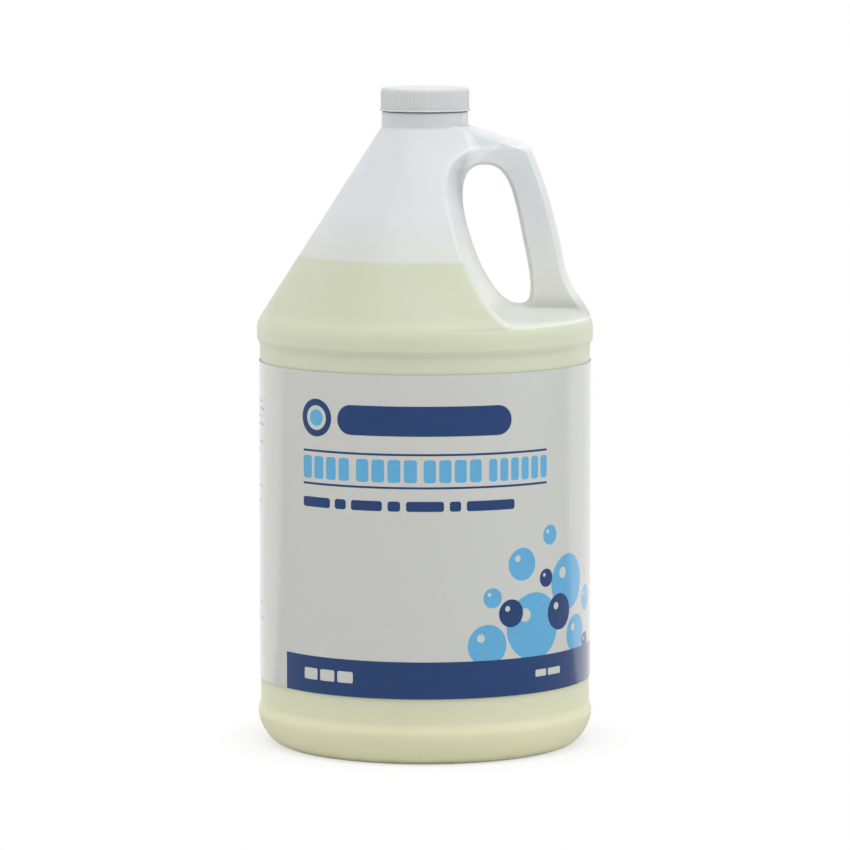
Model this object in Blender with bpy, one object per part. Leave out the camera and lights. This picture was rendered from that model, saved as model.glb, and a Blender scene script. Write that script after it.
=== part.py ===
"""Round refill jug with a through handle, its screw cap, liner, wrap label and soap.

Metres, +Z up. The origin lies on the jug's axis in the plane that it stands on,
the handle reaches towards +X and the front of the label faces -Y.
"""
import math

import bmesh
import bpy
import numpy as np

# Jug body, from the foot upwards
FOOT_RADIUS = 0.07175
FOOT_WIDTH = 0.0075
PUSH_UP_HEIGHT = 0.0045
PUSH_UP_SLOPE_WIDTH = 0.0090
HEEL_WIDTH = 0.0060
HEEL_HEIGHT = 0.0120
LOWER_BUMPER_HEIGHT = 0.0035
STEP_HEIGHT = 0.0045
PANEL_INSET = 0.00125
PANEL_HEIGHT = 0.1650
UPPER_BUMPER_OVERHANG = 0.00015
UPPER_BUMPER_HEIGHT = 0.0066
SHOULDER_ROUNDING = 0.0120
CONE_HEIGHT = 0.0900
NECK_RADIUS = 0.0200
NECK_HEIGHT = 0.0069
NECK_TAPER = 0.0006
NECK_TAPER_HEIGHT = 0.0018
WALL = 0.0010

# Handle and the recess pressed into both sides of the cone behind it
HANDLE_REACH = 0.0617
HANDLE_HALF_WIDTH = 0.0140
HANDLE_ROUNDING = 0.0080
HANDLE_SQUARENESS = 2.4
HANDLE_ROOT_WIDTH = 0.0100
HANDLE_ROOT_HEIGHT = 0.00395
GRIP_ARC_RADIUS = 0.2426
GRIP_TILT = math.radians(12.7)
GRIP_DEPTH = 0.0168
FLARE_TILT = math.radians(35.8)
FLARE_RISE = 0.0025
FLARE_ROUNDING = 0.0050
BROW_TILT = math.radians(17.6)
BROW_RISE = 0.0008
BROW_ROUNDING = 0.0060
HOLE_WIDTH = 0.0242
HOLE_RISE = 0.0079
HOLE_HEADROOM = 0.0173
HOLE_LEAN = -0.2504
HOLE_BOW = 0.0027
HOLE_TAPER = 0.123
HOLE_SQUARENESS = 2.57
RECESS_WIDTH = 0.0057
RECESS_EDGE_SOFTNESS = 0.25
BLEND_POWER = 6.0

# Threaded finish and cap
FINISH_RADIUS = 0.01745
FINISH_HEIGHT = 0.0082
BORE_RADIUS = 0.01575
BORE_LEAD_IN = 0.0020
RIM_CHAMFER = 0.0004
THREAD_DEPTH = 0.00125
THREAD_PITCH = 0.0042333
THREAD_ROOT_WIDTH = 0.0020
THREAD_CREST_WIDTH = 0.0010
THREAD_TURNS = 1.12
THREAD_TOP_DROP = 0.0016
THREAD_FADE = math.radians(40.0)
THREAD_BITE = 0.0003
THREAD_CLEARANCE = 0.00038
CAP_WALL = 0.0011
CAP_TOP_THICKNESS = 0.0014
CAP_STAND_OFF = 0.0005
CAP_EDGE_ROUNDING = 0.0012
CAP_RIM_OVERHANG = 0.0009
CAP_RIM_HEIGHT = 0.0008
CAP_RIM_ROUNDING = 0.0002
CAP_THREAD_TURNS = 1.05
CAP_THREAD_LIFT = 0.0014
RIB_COUNT = 120
RIB_HEIGHT = 0.00025
LINER_THICKNESS = 0.0010

# Wrap label and soap
LABEL_MARGIN_BELOW = 0.0112
LABEL_MARGIN_ABOVE = 0.0067
LABEL_THICKNESS = 0.0002
LABEL_OVERLAP = math.radians(8.0)
LABEL_LAP_GAP = 0.0001
LABEL_SEAM_ANGLE = math.radians(90.0)
SOAP_RISE = 0.0312

# Clearance between pieces that touch on the real object
SEAT_GAP = 0.0003

# Heights and radii that follow from the sizes above
LOWER_BUMPER_RADIUS = FOOT_RADIUS + HEEL_WIDTH
PANEL_RADIUS = LOWER_BUMPER_RADIUS - PANEL_INSET
UPPER_BUMPER_RADIUS = LOWER_BUMPER_RADIUS + UPPER_BUMPER_OVERHANG
LOWER_BUMPER_TOP = HEEL_HEIGHT + LOWER_BUMPER_HEIGHT
PANEL_BOTTOM = LOWER_BUMPER_TOP + STEP_HEIGHT
PANEL_TOP = PANEL_BOTTOM + PANEL_HEIGHT
UPPER_BUMPER_BOTTOM = PANEL_TOP + STEP_HEIGHT
SHOULDER_Z = UPPER_BUMPER_BOTTOM + UPPER_BUMPER_HEIGHT
NECK_BASE = SHOULDER_Z + CONE_HEIGHT
NECK_TOP = NECK_BASE + NECK_HEIGHT
FINISH_TOP = NECK_TOP + FINISH_HEIGHT
HOLE_BOTTOM = SHOULDER_Z + HOLE_RISE
HOLE_TOP = NECK_BASE - HOLE_HEADROOM
LINER_BOTTOM = FINISH_TOP + SEAT_GAP
CAP_CEILING = LINER_BOTTOM + LINER_THICKNESS + SEAT_GAP
CAP_TOP = CAP_CEILING + CAP_TOP_THICKNESS
CAP_BOTTOM = NECK_TOP + CAP_STAND_OFF
THREAD_RADIUS = FINISH_RADIUS + THREAD_DEPTH
CAP_BORE_RADIUS = THREAD_RADIUS + THREAD_CLEARANCE
CAP_THREAD_RADIUS = FINISH_RADIUS + THREAD_CLEARANCE
SKIRT_RADIUS = CAP_BORE_RADIUS + CAP_WALL
SOAP_LEVEL = SHOULDER_Z + SOAP_RISE

# Mesh columns over half a turn: left of the recess, its wall, the handle side
OUTER_COLUMNS = (16, 4, 10)
INNER_COLUMNS = (8, 2, 6)
RECESS_COLUMN_ANGLE = math.radians(112.0)
HOLE_COLUMN_ANGLE = math.radians(123.75)
RECESS_CORNER = 0.85
HOLE_ROWS = 9
CAP_SIDES = 48
THREAD_SIDES = 40
LABEL_SIDES = 60
HEEL_STEPS = 4
SHOULDER_STEPS = 4
CAP_EDGE_STEPS = 3
STEP_SHARES = (0.0, 0.35, 0.65, 1.0)
RECESS_SHARES = (1.0, 0.85, 0.6, 0.35, 0.15, 0.05, 0.0)
BROW_SHARES = (0.0, 0.04, 0.12, 0.25, 0.42, 0.58, 0.78)
OUTLINE_POINTS = 240
SECTION_POINTS = 160
TURN_SPACING = 0.008
SHORTEST_RUN = 1e-9
SHARP_ANGLE = math.radians(35.0)

# Colours
WALL_COLOUR = (0.80, 0.82, 0.78)
SOAP_COLOUR = (0.74, 0.77, 0.55)
LABEL_COLOUR = (0.78, 0.78, 0.77)
LINER_COLOUR = (0.90, 0.90, 0.88)
CAP_COLOUR = (0.86, 0.88, 0.88)


def smooth_step(value):
    """Ease from 0 to 1."""
    value = np.clip(value, 0.0, 1.0)
    return value * value * (3.0 - 2.0 * value)


def smooth_min(a, b, width):
    """Smaller of two values, rounded over the given width."""
    overlap = np.maximum(width - np.abs(a - b), 0.0) / width
    return np.minimum(a, b) - overlap * overlap * width / 4.0


def smooth_max(a, b, width):
    """Larger of two values, rounded over the given width."""
    return -smooth_min(-a, -b, width)


def offset_outline(points, distance):
    """Shift an open outline sideways, to its left as it runs."""
    run = np.gradient(points, axis=0)
    run /= np.hypot(run[:, 0], run[:, 1])[:, None]
    return points + distance * np.column_stack((-run[:, 1], run[:, 0]))


def distance_to(outline, x, z):
    """Shortest distance from each point (x, z) to an open outline."""
    start = outline[:-1]
    run = outline[1:] - start
    length = np.maximum((run ** 2).sum(axis=1), SHORTEST_RUN ** 2)
    to_point = np.column_stack((x, z))[:, None, :] - start[None]
    share = np.clip((to_point * run[None]).sum(axis=2) / length, 0.0, 1.0)
    gap = to_point - share[:, :, None] * run[None]
    return np.sqrt((gap ** 2).sum(axis=2)).min(axis=1)


def fillet(corner, before, after, radius, steps):
    """Points of the arc that rounds a corner between two directions away from it."""
    corner, before, after = (np.array(v, dtype=float) for v in (corner, before, after))
    before /= np.hypot(*before)
    after /= np.hypot(*after)
    half = math.acos(float(np.clip(before @ after, -1.0, 1.0))) / 2.0
    reach = radius / math.tan(half)
    middle = before + after
    centre = corner + middle / np.hypot(*middle) * radius / math.sin(half)
    first = corner + before * reach - centre
    last = corner + after * reach - centre
    turn = math.pi - 2.0 * half
    points = []
    for step in range(steps + 1):
        share = step / steps
        along = (math.sin((1.0 - share) * turn) * first + math.sin(share * turn) * last)
        points.append(centre + along / math.sin(turn))
    return points


def side_profile():
    """Radius and height of the jug's outside, from the foot's outer edge to the neck."""
    points = []
    for step in range(HEEL_STEPS + 1):
        angle = step / HEEL_STEPS * math.pi / 2.0
        points.append((FOOT_RADIUS + HEEL_WIDTH * math.sin(angle),
                       HEEL_HEIGHT * (1.0 - math.cos(angle))))
    for share in STEP_SHARES:
        ease = float(smooth_step(share))
        points.append((LOWER_BUMPER_RADIUS - PANEL_INSET * ease,
                       LOWER_BUMPER_TOP + share * STEP_HEIGHT))
    for share in STEP_SHARES:
        ease = float(smooth_step(share))
        points.append((PANEL_RADIUS + (UPPER_BUMPER_RADIUS - PANEL_RADIUS) * ease,
                       PANEL_TOP + share * STEP_HEIGHT))
    cone_run = (NECK_RADIUS - UPPER_BUMPER_RADIUS, CONE_HEIGHT)
    points.extend(map(tuple, fillet((UPPER_BUMPER_RADIUS, SHOULDER_Z), (0.0, -1.0), cone_run,
                                    SHOULDER_ROUNDING, SHOULDER_STEPS)))
    points.append((NECK_RADIUS, NECK_BASE))
    return np.array(points)


def grip_arc(z):
    """Outer line of the grip, a shallow arc that leans towards the neck."""
    middle = (HOLE_BOTTOM + HOLE_TOP) / 2.0
    centre_x = HANDLE_REACH - GRIP_ARC_RADIUS * math.cos(GRIP_TILT)
    centre_z = middle - GRIP_ARC_RADIUS * math.sin(GRIP_TILT)
    return centre_x + np.sqrt(np.maximum(GRIP_ARC_RADIUS ** 2 - (z - centre_z) ** 2, 0.0))


def handle_outline():
    """Outer line of the handle from the upper bumper to the neck, as (x, z)."""
    z = np.linspace(SHOULDER_Z, NECK_BASE + BROW_RISE, OUTLINE_POINTS)
    brow = NECK_RADIUS + (NECK_BASE + BROW_RISE - z) / math.tan(BROW_TILT)
    flare = UPPER_BUMPER_RADIUS - (z - SHOULDER_Z - FLARE_RISE) * math.tan(FLARE_TILT)
    grip = smooth_min(grip_arc(z), brow, BROW_ROUNDING)
    line = smooth_max(grip, flare, FLARE_ROUNDING)
    line = smooth_min(line, UPPER_BUMPER_RADIUS, FLARE_ROUNDING)
    line = np.maximum(line, NECK_RADIUS)
    return np.column_stack((line, z))


def hole_outline():
    """Left and right sides of the finger hole, each from its bottom to its top."""
    turn = np.linspace(0.0, math.pi, OUTLINE_POINTS)
    rise = -np.sign(np.cos(turn)) * np.abs(np.cos(turn)) ** (2.0 / HOLE_SQUARENESS)
    spread = np.sin(turn) ** (2.0 / HOLE_SQUARENESS) * (1.0 + HOLE_TAPER * rise)
    middle = (HOLE_BOTTOM + HOLE_TOP) / 2.0
    half_length = (HOLE_TOP - HOLE_BOTTOM) / 2.0
    z = middle + rise * half_length
    centre = HANDLE_REACH - GRIP_DEPTH - HOLE_WIDTH / 2.0
    centre = centre + HOLE_LEAN * (z - middle) + HOLE_BOW * rise ** 2
    left = np.column_stack((centre - spread * HOLE_WIDTH / 2.0, z))
    right = np.column_stack((centre + spread * HOLE_WIDTH / 2.0, z))
    return left, right


def handle_share(z):
    """How much of the handle stands out at a height: none at the shoulder's corner."""
    return smooth_step((z - SHOULDER_Z) / HANDLE_ROOT_HEIGHT)


class Skin:
    """One closed surface of the jug, inset from the outside by a given distance."""

    def __init__(self, inset, columns):
        self.inset = inset
        self.columns = columns
        self.half_width = HANDLE_HALF_WIDTH - inset
        self.rounding = HANDLE_ROUNDING - inset
        self.side = offset_outline(side_profile(), inset)
        self.side[0] = (FOOT_RADIUS, inset)
        self.side[-1] = (NECK_RADIUS - inset, NECK_BASE)
        edge = offset_outline(handle_outline(), inset)
        edge[0] = (UPPER_BUMPER_RADIUS - inset, SHOULDER_Z)
        edge[-1] = (NECK_RADIUS - inset, NECK_BASE + BROW_RISE)
        self.edge = edge
        below = (edge[0][0], edge[0][1] - CONE_HEIGHT)
        above = (edge[-1][0], edge[-1][1] + NECK_HEIGHT)
        self.edge_line = np.vstack((below, edge, above))
        left, right = hole_outline()
        loop = np.vstack((left, right[-2:0:-1], left[:2]))
        loop = offset_outline(np.vstack((loop[-3:-2], loop)), inset)[1:-1]
        self.hole_line = np.vstack((loop, loop[:1]))
        self.set_hole(loop)

    def set_hole(self, loop):
        """Sort the hole's outline into a left and a right side over height."""
        low = int(np.argmin(loop[:, 1]))
        loop = np.roll(loop, -low, axis=0)
        high = int(np.argmax(loop[:, 1]))
        self.hole_left = loop[:high + 1]
        self.hole_right = np.vstack((loop[high:], loop[:1]))[::-1]
        self.hole_bottom = loop[0]
        self.hole_top = loop[high]
        far = UPPER_BUMPER_RADIUS * 2.0
        self.recess_line = np.vstack(((far, self.hole_bottom[1]), self.hole_left,
                                      (far, self.hole_top[1])))

    def radius(self, z):
        """Radius of the round body at a height."""
        return np.interp(z, self.side[:, 1], self.side[:, 0])

    def reach(self, z):
        """How far the outline reaches towards +X at a height."""
        round_x = float(self.radius(z))
        edge_x = float(np.interp(z, self.edge[:, 1], self.edge[:, 0]))
        return round_x + max(edge_x - round_x, 0.0) * float(handle_share(z))

    def hole_sides(self, z):
        """Left and right side of the finger hole at a height."""
        left = np.interp(z, self.hole_left[:, 1], self.hole_left[:, 0])
        right = np.interp(z, self.hole_right[:, 1], self.hole_right[:, 0])
        return float(left), float(right)

    def inside_recess(self, x, z):
        """Whether points lie right of the recess's inner line."""
        within = (z > self.hole_bottom[1]) & (z < self.hole_top[1])
        left = np.interp(z, self.hole_left[:, 1], self.hole_left[:, 0])
        return within & (x > left)

    def round_off(self, distance):
        """Rounded edge of the grip: 0 on its outline, 1 a rounding further in."""
        share = 1.0 - np.clip(distance / self.rounding, 0.0, 1.0)
        return (1.0 - share ** HANDLE_SQUARENESS) ** (1.0 / HANDLE_SQUARENESS)

    def half_depth(self, x, z):
        """Half depth of the jug, along Y, at points (x, z)."""
        body = np.sqrt(np.maximum(self.radius(z) ** 2 - x ** 2, 0.0))
        gap = distance_to(self.recess_line, x, z) / RECESS_WIDTH
        gap = np.where(self.inside_recess(x, z), 0.0, gap)
        wall = np.clip(smooth_min(gap, 1.0, RECESS_EDGE_SOFTNESS), 0.0, 1.0)
        grip = self.round_off(distance_to(self.hole_line, x, z))
        grip = grip * self.round_off(distance_to(self.edge_line, x, z))
        grip = grip * smooth_step(x / HANDLE_ROOT_WIDTH)
        grip = grip * handle_share(z)
        near = (body * wall) ** BLEND_POWER + (grip * self.half_width) ** BLEND_POWER
        return near ** (1.0 / BLEND_POWER)

    def column_angles(self):
        """Angles of the columns over half a turn, from -X round to +X."""
        marks = (0.0, RECESS_COLUMN_ANGLE, HOLE_COLUMN_ANGLE, math.pi)
        angles = [0.0]
        for count, start, end in zip(self.columns, marks[:-1], marks[1:]):
            angles.extend(start + (end - start) * step / count for step in range(1, count + 1))
        return np.array(angles)

    def ring(self, radius, z):
        """Row of a round section."""
        angles = self.column_angles()
        row = np.column_stack((-radius * np.cos(angles), radius * np.sin(angles)))
        row[0, 1] = row[-1, 1] = 0.0
        split = self.columns[0] + self.columns[1]
        return Row(z, row[:split + 1], row[split:])

    def run(self, z, start, end, counts, middles):
        """Columns of one stretch of a section, closer together where it curves."""
        share = (1.0 - np.cos(np.linspace(0.0, math.pi, SECTION_POINTS))) / 2.0
        x = start + (end - start) * share
        y = self.half_depth(x, np.full_like(x, z))
        step = np.hypot(np.diff(x), np.diff(y))
        heading = np.unwrap(np.arctan2(np.diff(y), np.diff(x)))
        step[1:] += TURN_SPACING * np.abs(np.diff(heading))
        travel = np.concatenate(([0.0], np.cumsum(step)))
        stops = [0.0, *[float(np.interp(m, x, travel)) for m in middles], travel[-1]]
        wanted = [0.0]
        for count, first, last in zip(counts, stops[:-1], stops[1:]):
            wanted.extend(first + (last - first) * step / count for step in range(1, count + 1))
        return np.column_stack((np.interp(wanted, travel, x), np.interp(wanted, travel, y)))

    def recess_column(self, z):
        """Place of the recess's edge at a height, or of the column that continues it."""
        round_x = -float(self.radius(z)) * math.cos(RECESS_COLUMN_ANGLE)
        line = offset_outline(self.hole_left, RECESS_WIDTH)
        line = line[np.argsort(line[:, 1])]
        lowest = self.hole_bottom[1] - RECESS_WIDTH * RECESS_CORNER
        highest = self.hole_top[1]
        edge_x = float(np.interp(np.clip(z, lowest, highest), line[:, 1], line[:, 0]))
        below = (lowest - z) / (lowest - SHOULDER_Z)
        above = (z - highest) / (NECK_BASE - highest)
        share = float(smooth_step(max(below, above)))
        return (1.0 - share) * edge_x + share * round_x

    def column_share(self, z):
        """How far the columns are back at their round places: 0 at the hole, 1 clear of it."""
        low, high = self.hole_bottom[1], self.hole_top[1]
        above = (z - high) / (NECK_BASE - high)
        below = (low - z) / HOLE_RISE
        return float(smooth_step(max(above, below)))

    def section(self, z):
        """Row of the jug at a height, with the recess and the handle in it."""
        first, second, third = self.columns
        left_end = -float(self.radius(z))
        right_end = self.reach(z)
        bead = self.recess_column(z)
        low, high = self.hole_bottom, self.hole_top
        if low[1] < z < high[1]:
            hole_left, hole_right = self.hole_sides(z)
            left = self.run(z, left_end, hole_left, (first, second), (bead,))
            right = self.run(z, hole_right, right_end, (third,), ())
            left[-1, 1] = right[0, 1] = 0.0
        else:
            round_x = -float(self.radius(z)) * math.cos(HOLE_COLUMN_ANGLE)
            share = self.column_share(z)
            end_x = high[0] if z >= high[1] else low[0]
            split = (1.0 - share) * end_x + share * round_x
            whole = self.run(z, left_end, right_end, self.columns, (bead, split))
            left = whole[:first + second + 1]
            right = whole[first + second:]
            if z in (low[1], high[1]):
                left[-1, 1] = right[0, 1] = 0.0
        left[0, 1] = right[-1, 1] = 0.0
        return Row(z, left, right)

    def body_rows(self, limit=NECK_BASE, extra=()):
        """Rows of the skin from the foot's edge up to a limit, some at extra heights."""
        low, high = self.hole_bottom[1], self.hole_top[1]
        rows = []
        for radius, z in self.side[1:-1]:
            if z < min(low - RECESS_WIDTH, limit):
                rows.append(self.ring(radius, z))
        heights = [low - RECESS_WIDTH * share for share in RECESS_SHARES]
        half = (high - low) / 2.0
        for step in range(1, HOLE_ROWS + 1):
            heights.append(low + half * (1.0 - math.cos(math.pi * step / (HOLE_ROWS + 1))))
        heights.extend(high + (NECK_BASE - high) * share for share in BROW_SHARES)
        heights.extend(extra)
        rows.extend(self.section(z) for z in sorted(heights) if z <= limit)
        return rows


class Row:
    """Points of one horizontal section: columns left of the hole and right of it."""

    def __init__(self, z, left, right):
        self.z = z
        self.left = left
        self.right = right


def place_row(bm, row):
    """Add a row's vertices, and return its front and back columns on both sides."""
    made = {}

    def vertex(x, y):
        key = (round(x, 8), round(y, 8))
        if key not in made:
            made[key] = bm.verts.new((x, y, row.z))
        return made[key]

    sides = []
    for sign in (-1.0, 1.0):
        left = [vertex(x, sign * y if y else 0.0) for x, y in row.left]
        right = [vertex(x, sign * y if y else 0.0) for x, y in row.right]
        sides.append((left, right))
    return sides


def join_rows(bm, lower, upper):
    """Join two placed rows with faces, all the way round."""
    for below, above in zip(lower, upper):
        for part in (0, 1):
            for i in range(len(below[part]) - 1):
                a, b = below[part][i], below[part][i + 1]
                d, c = above[part][i], above[part][i + 1]
                bm.faces.new([a, b, c])
                bm.faces.new([a, c, d])


def row_loop(placed):
    """Vertices of a round row in order, all the way round."""
    (front_left, front_right), (back_left, back_right) = placed
    loop = front_left + front_right[1:]
    return loop + back_right[-2::-1] + back_left[-2:0:-1]


def fill_row(bm, placed):
    """Close a row with flat faces: one over the body and one over the handle."""
    (front_left, front_right), (back_left, back_right) = placed
    if front_left[-1] is front_right[0]:
        bm.faces.new(row_loop(placed))
        return
    bm.faces.new(front_left + back_left[-2:0:-1])
    bm.faces.new(front_right + back_right[-2:0:-1])


def stitch(bm, first, second):
    """Join two loops round the axis that start at the same angle, whatever their counts."""
    i = j = 0
    while i < len(first) or j < len(second):
        a, b = first[i % len(first)], second[j % len(second)]
        if (i + 1) * len(second) <= (j + 1) * len(first):
            i += 1
            bm.faces.new([a, b, first[i % len(first)]])
        else:
            j += 1
            bm.faces.new([a, b, second[j % len(second)]])


def finish_mesh(bm, name, colour, roughness, transmission=0.0):
    """Turn a bmesh into a named object with its own material."""
    bmesh.ops.recalc_face_normals(bm, faces=bm.faces)
    mesh = bpy.data.meshes.new(name)
    bm.to_mesh(mesh)
    bm.free()
    mesh.shade_smooth()
    mesh.set_sharp_from_angle(angle=SHARP_ANGLE)
    obj = bpy.data.objects.new(name, mesh)
    bpy.context.collection.objects.link(obj)
    material = bpy.data.materials.new(name)
    material.use_nodes = True
    shader = material.node_tree.nodes["Principled BSDF"]
    shader.inputs["Base Color"].default_value = (*colour, 1.0)
    shader.inputs["Roughness"].default_value = roughness
    shader.inputs["Metallic"].default_value = 0.0
    shader.inputs["Transmission Weight"].default_value = transmission
    mesh.materials.append(material)
    return obj


def foot_rows(skin, height):
    """Rows of the foot and the push-up under the jug, from its middle outwards."""
    inner = FOOT_RADIUS - FOOT_WIDTH
    dome = height + PUSH_UP_HEIGHT
    rows = [skin.ring(inner - PUSH_UP_SLOPE_WIDTH, dome), skin.ring(inner, height)]
    rows.append(skin.ring(FOOT_RADIUS, height))
    return rows, dome


def close_middle(bm, placed, z):
    """Fan a round row to a point on the axis."""
    loop = row_loop(placed)
    centre = bm.verts.new((0.0, 0.0, z))
    for i, vert in enumerate(loop):
        bm.faces.new([centre, vert, loop[(i + 1) % len(loop)]])


def add_skin(bm, skin, rows, dome):
    """Join rows into a skin that is closed at the middle of the base."""
    placed = [place_row(bm, row) for row in rows]
    close_middle(bm, placed[0], dome)
    for lower, upper in zip(placed[:-1], placed[1:]):
        join_rows(bm, lower, upper)
    return placed[-1]


def make_thread(name, root, crest, bottom, turns):
    """Helical ridge between two radii, with both ends run out to nothing."""
    steps = int(round(turns * THREAD_SIDES))
    inwards = crest < root
    bite = THREAD_BITE if inwards else -THREAD_BITE
    bm = bmesh.new()
    loops = []
    for step in range(steps + 1):
        angle = step / THREAD_SIDES * 2.0 * math.pi
        end = min(step, steps - step) / THREAD_SIDES * 2.0 * math.pi
        fade = float(smooth_step(end / THREAD_FADE))
        top = root + (crest - root) * fade - bite * (1.0 - fade) / 2.0
        z = bottom + THREAD_PITCH * angle / (2.0 * math.pi)
        crest_half = THREAD_CREST_WIDTH / 2.0
        root_half = THREAD_ROOT_WIDTH / 2.0
        corners = ((root + bite, z - root_half), (top, z - crest_half),
                   (top, z + crest_half), (root + bite, z + root_half))
        loops.append([bm.verts.new((r * math.cos(angle), r * math.sin(angle), h))
                      for r, h in corners])
    for first, second in zip(loops[:-1], loops[1:]):
        for i in range(4):
            following = (i + 1) % 4
            bm.faces.new([first[i], first[following], second[following], second[i]])
    bm.faces.new(loops[0])
    bm.faces.new(loops[-1])
    ridge = finish_mesh(bm, name, CAP_COLOUR, 0.4)
    ridge.hide_render = True
    ridge.display_type = "WIRE"
    return ridge


def fuse(obj, ridge):
    """Fuse a thread to the piece that carries it."""
    union = obj.modifiers.new("thread", "BOOLEAN")
    union.operation = "UNION"
    union.solver = "EXACT"
    union.object = ridge
    ridge.parent = obj.parent


def neck_rows(skin):
    """Rows outside the neck and the finish, up to the rim."""
    rows = [skin.ring(NECK_RADIUS, NECK_BASE + BROW_RISE)]
    rows.append(skin.ring(NECK_RADIUS, NECK_TOP - NECK_TAPER_HEIGHT))
    rows.append(skin.ring(NECK_RADIUS - NECK_TAPER, NECK_TOP))
    rows.append(skin.ring(FINISH_RADIUS, NECK_TOP))
    rows.append(skin.ring(FINISH_RADIUS, FINISH_TOP - RIM_CHAMFER))
    rows.append(skin.ring(FINISH_RADIUS - RIM_CHAMFER, FINISH_TOP))
    return rows


def bore_rows(skin):
    """Rows inside the neck and the finish, up to the rim."""
    rows = [skin.ring(NECK_RADIUS - skin.inset, NECK_BASE + BROW_RISE)]
    rows.append(skin.ring(NECK_RADIUS - skin.inset, NECK_TOP - BORE_LEAD_IN))
    rows.append(skin.ring(BORE_RADIUS, NECK_TOP))
    rows.append(skin.ring(BORE_RADIUS, FINISH_TOP))
    return rows


def neck_thread_bottom():
    """Height of the middle of the neck's thread where it starts."""
    return FINISH_TOP - THREAD_TOP_DROP - THREAD_TURNS * THREAD_PITCH


def make_bottle():
    """Hollow blown jug with its handle, neck and thread."""
    bm = bmesh.new()
    outer = Skin(0.0, OUTER_COLUMNS)
    rows, dome = foot_rows(outer, 0.0)
    outer_rim = add_skin(bm, outer, rows + outer.body_rows() + neck_rows(outer), dome)
    inner = Skin(WALL, INNER_COLUMNS)
    rows, dome = foot_rows(inner, WALL)
    rows.extend(inner.body_rows(extra=(SOAP_LEVEL,)) + bore_rows(inner))
    inner_rim = add_skin(bm, inner, rows, dome)
    stitch(bm, row_loop(inner_rim), row_loop(outer_rim))
    bottle = finish_mesh(bm, "bottle", WALL_COLOUR, 0.35, 0.4)
    thread = make_thread("bottle_thread", FINISH_RADIUS, THREAD_RADIUS,
                         neck_thread_bottom(), THREAD_TURNS)
    fuse(bottle, thread)
    return bottle


def make_soap():
    """Liquid in the jug and in the lower half of its handle, flat on top."""
    bm = bmesh.new()
    skin = Skin(WALL, INNER_COLUMNS)
    rows, dome = foot_rows(skin, WALL)
    rows.extend(skin.body_rows(limit=SOAP_LEVEL, extra=(SOAP_LEVEL,)))
    top = add_skin(bm, skin, rows, dome)
    bmesh.ops.recalc_face_normals(bm, faces=bm.faces)
    bm.normal_update()
    farthest = max(bm.faces, key=lambda face: face.calc_center_median().x)
    inwards = math.copysign(SEAT_GAP, -farthest.normal.x)
    moves = [vert.normal * vert.calc_shell_factor() * inwards for vert in bm.verts]
    for vert, move in zip(bm.verts, moves):
        vert.co += move
    for side in top:
        for part in side:
            for vert in part:
                vert.co.z = SOAP_LEVEL
    fill_row(bm, top)
    return finish_mesh(bm, "soap", SOAP_COLOUR, 0.1, 0.6)


def polygon_ring(bm, radius, z, sides, ripple=0.0):
    """Loop of vertices round the axis, every second one drawn in by the ripple."""
    loop = []
    for i in range(sides):
        angle = i / sides * 2.0 * math.pi
        reach = radius - ripple * (i % 2)
        loop.append(bm.verts.new((reach * math.cos(angle), reach * math.sin(angle), z)))
    return loop


def close_rib_ends(bm, loop, keep):
    """Close one end of the ribs flat, and return the loop through their tips or valleys."""
    count = len(loop)
    for i in range(keep, count, 2):
        bm.faces.new([loop[i], loop[(i + 1) % count], loop[(i + 2) % count]])
    return loop[keep::2]


def make_cap():
    """Ribbed screw cap with a thin rim at its foot and a thread inside."""
    bm = bmesh.new()
    rim_top = CAP_BOTTOM + CAP_RIM_HEIGHT
    rib_top = CAP_TOP - CAP_EDGE_ROUNDING
    rib_radius = SKIRT_RADIUS + RIB_HEIGHT
    rim_radius = SKIRT_RADIUS + CAP_RIM_OVERHANG
    below = [polygon_ring(bm, CAP_BORE_RADIUS, CAP_CEILING, CAP_SIDES)]
    below.append(polygon_ring(bm, CAP_BORE_RADIUS, CAP_BOTTOM, CAP_SIDES))
    below.append(polygon_ring(bm, rim_radius - CAP_RIM_ROUNDING, CAP_BOTTOM, CAP_SIDES))
    below.append(polygon_ring(bm, rim_radius, (CAP_BOTTOM + rim_top) / 2.0, CAP_SIDES))
    below.append(polygon_ring(bm, rim_radius - CAP_RIM_ROUNDING, rim_top, CAP_SIDES))
    rib_feet = polygon_ring(bm, rib_radius, rim_top, RIB_COUNT * 2, RIB_HEIGHT)
    rib_heads = polygon_ring(bm, rib_radius, rib_top, RIB_COUNT * 2, RIB_HEIGHT)
    stitch(bm, rib_feet, rib_heads)
    below.append(close_rib_ends(bm, rib_feet, 0))
    above = [close_rib_ends(bm, rib_heads, 1)]
    for step in range(1, CAP_EDGE_STEPS + 1):
        turn = step / CAP_EDGE_STEPS * math.pi / 2.0
        above.append(polygon_ring(bm, SKIRT_RADIUS - CAP_EDGE_ROUNDING * (1.0 - math.cos(turn)),
                                  rib_top + CAP_EDGE_ROUNDING * math.sin(turn), CAP_SIDES))
    bm.faces.new(below[0])
    bm.faces.new(above[-1])
    for loops in (below, above):
        for first, second in zip(loops[:-1], loops[1:]):
            stitch(bm, first, second)
    cap = finish_mesh(bm, "cap", CAP_COLOUR, 0.4)
    engaged = (THREAD_ROOT_WIDTH + THREAD_CREST_WIDTH) / 2.0 + SEAT_GAP
    start = neck_thread_bottom() - engaged
    first_turn = (CAP_BOTTOM + CAP_THREAD_LIFT - start) / THREAD_PITCH
    thread = make_thread("cap_thread", CAP_BORE_RADIUS, CAP_THREAD_RADIUS,
                         start + first_turn * THREAD_PITCH, CAP_THREAD_TURNS)
    thread.rotation_euler.z = first_turn * 2.0 * math.pi
    fuse(cap, thread)
    return cap


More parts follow.
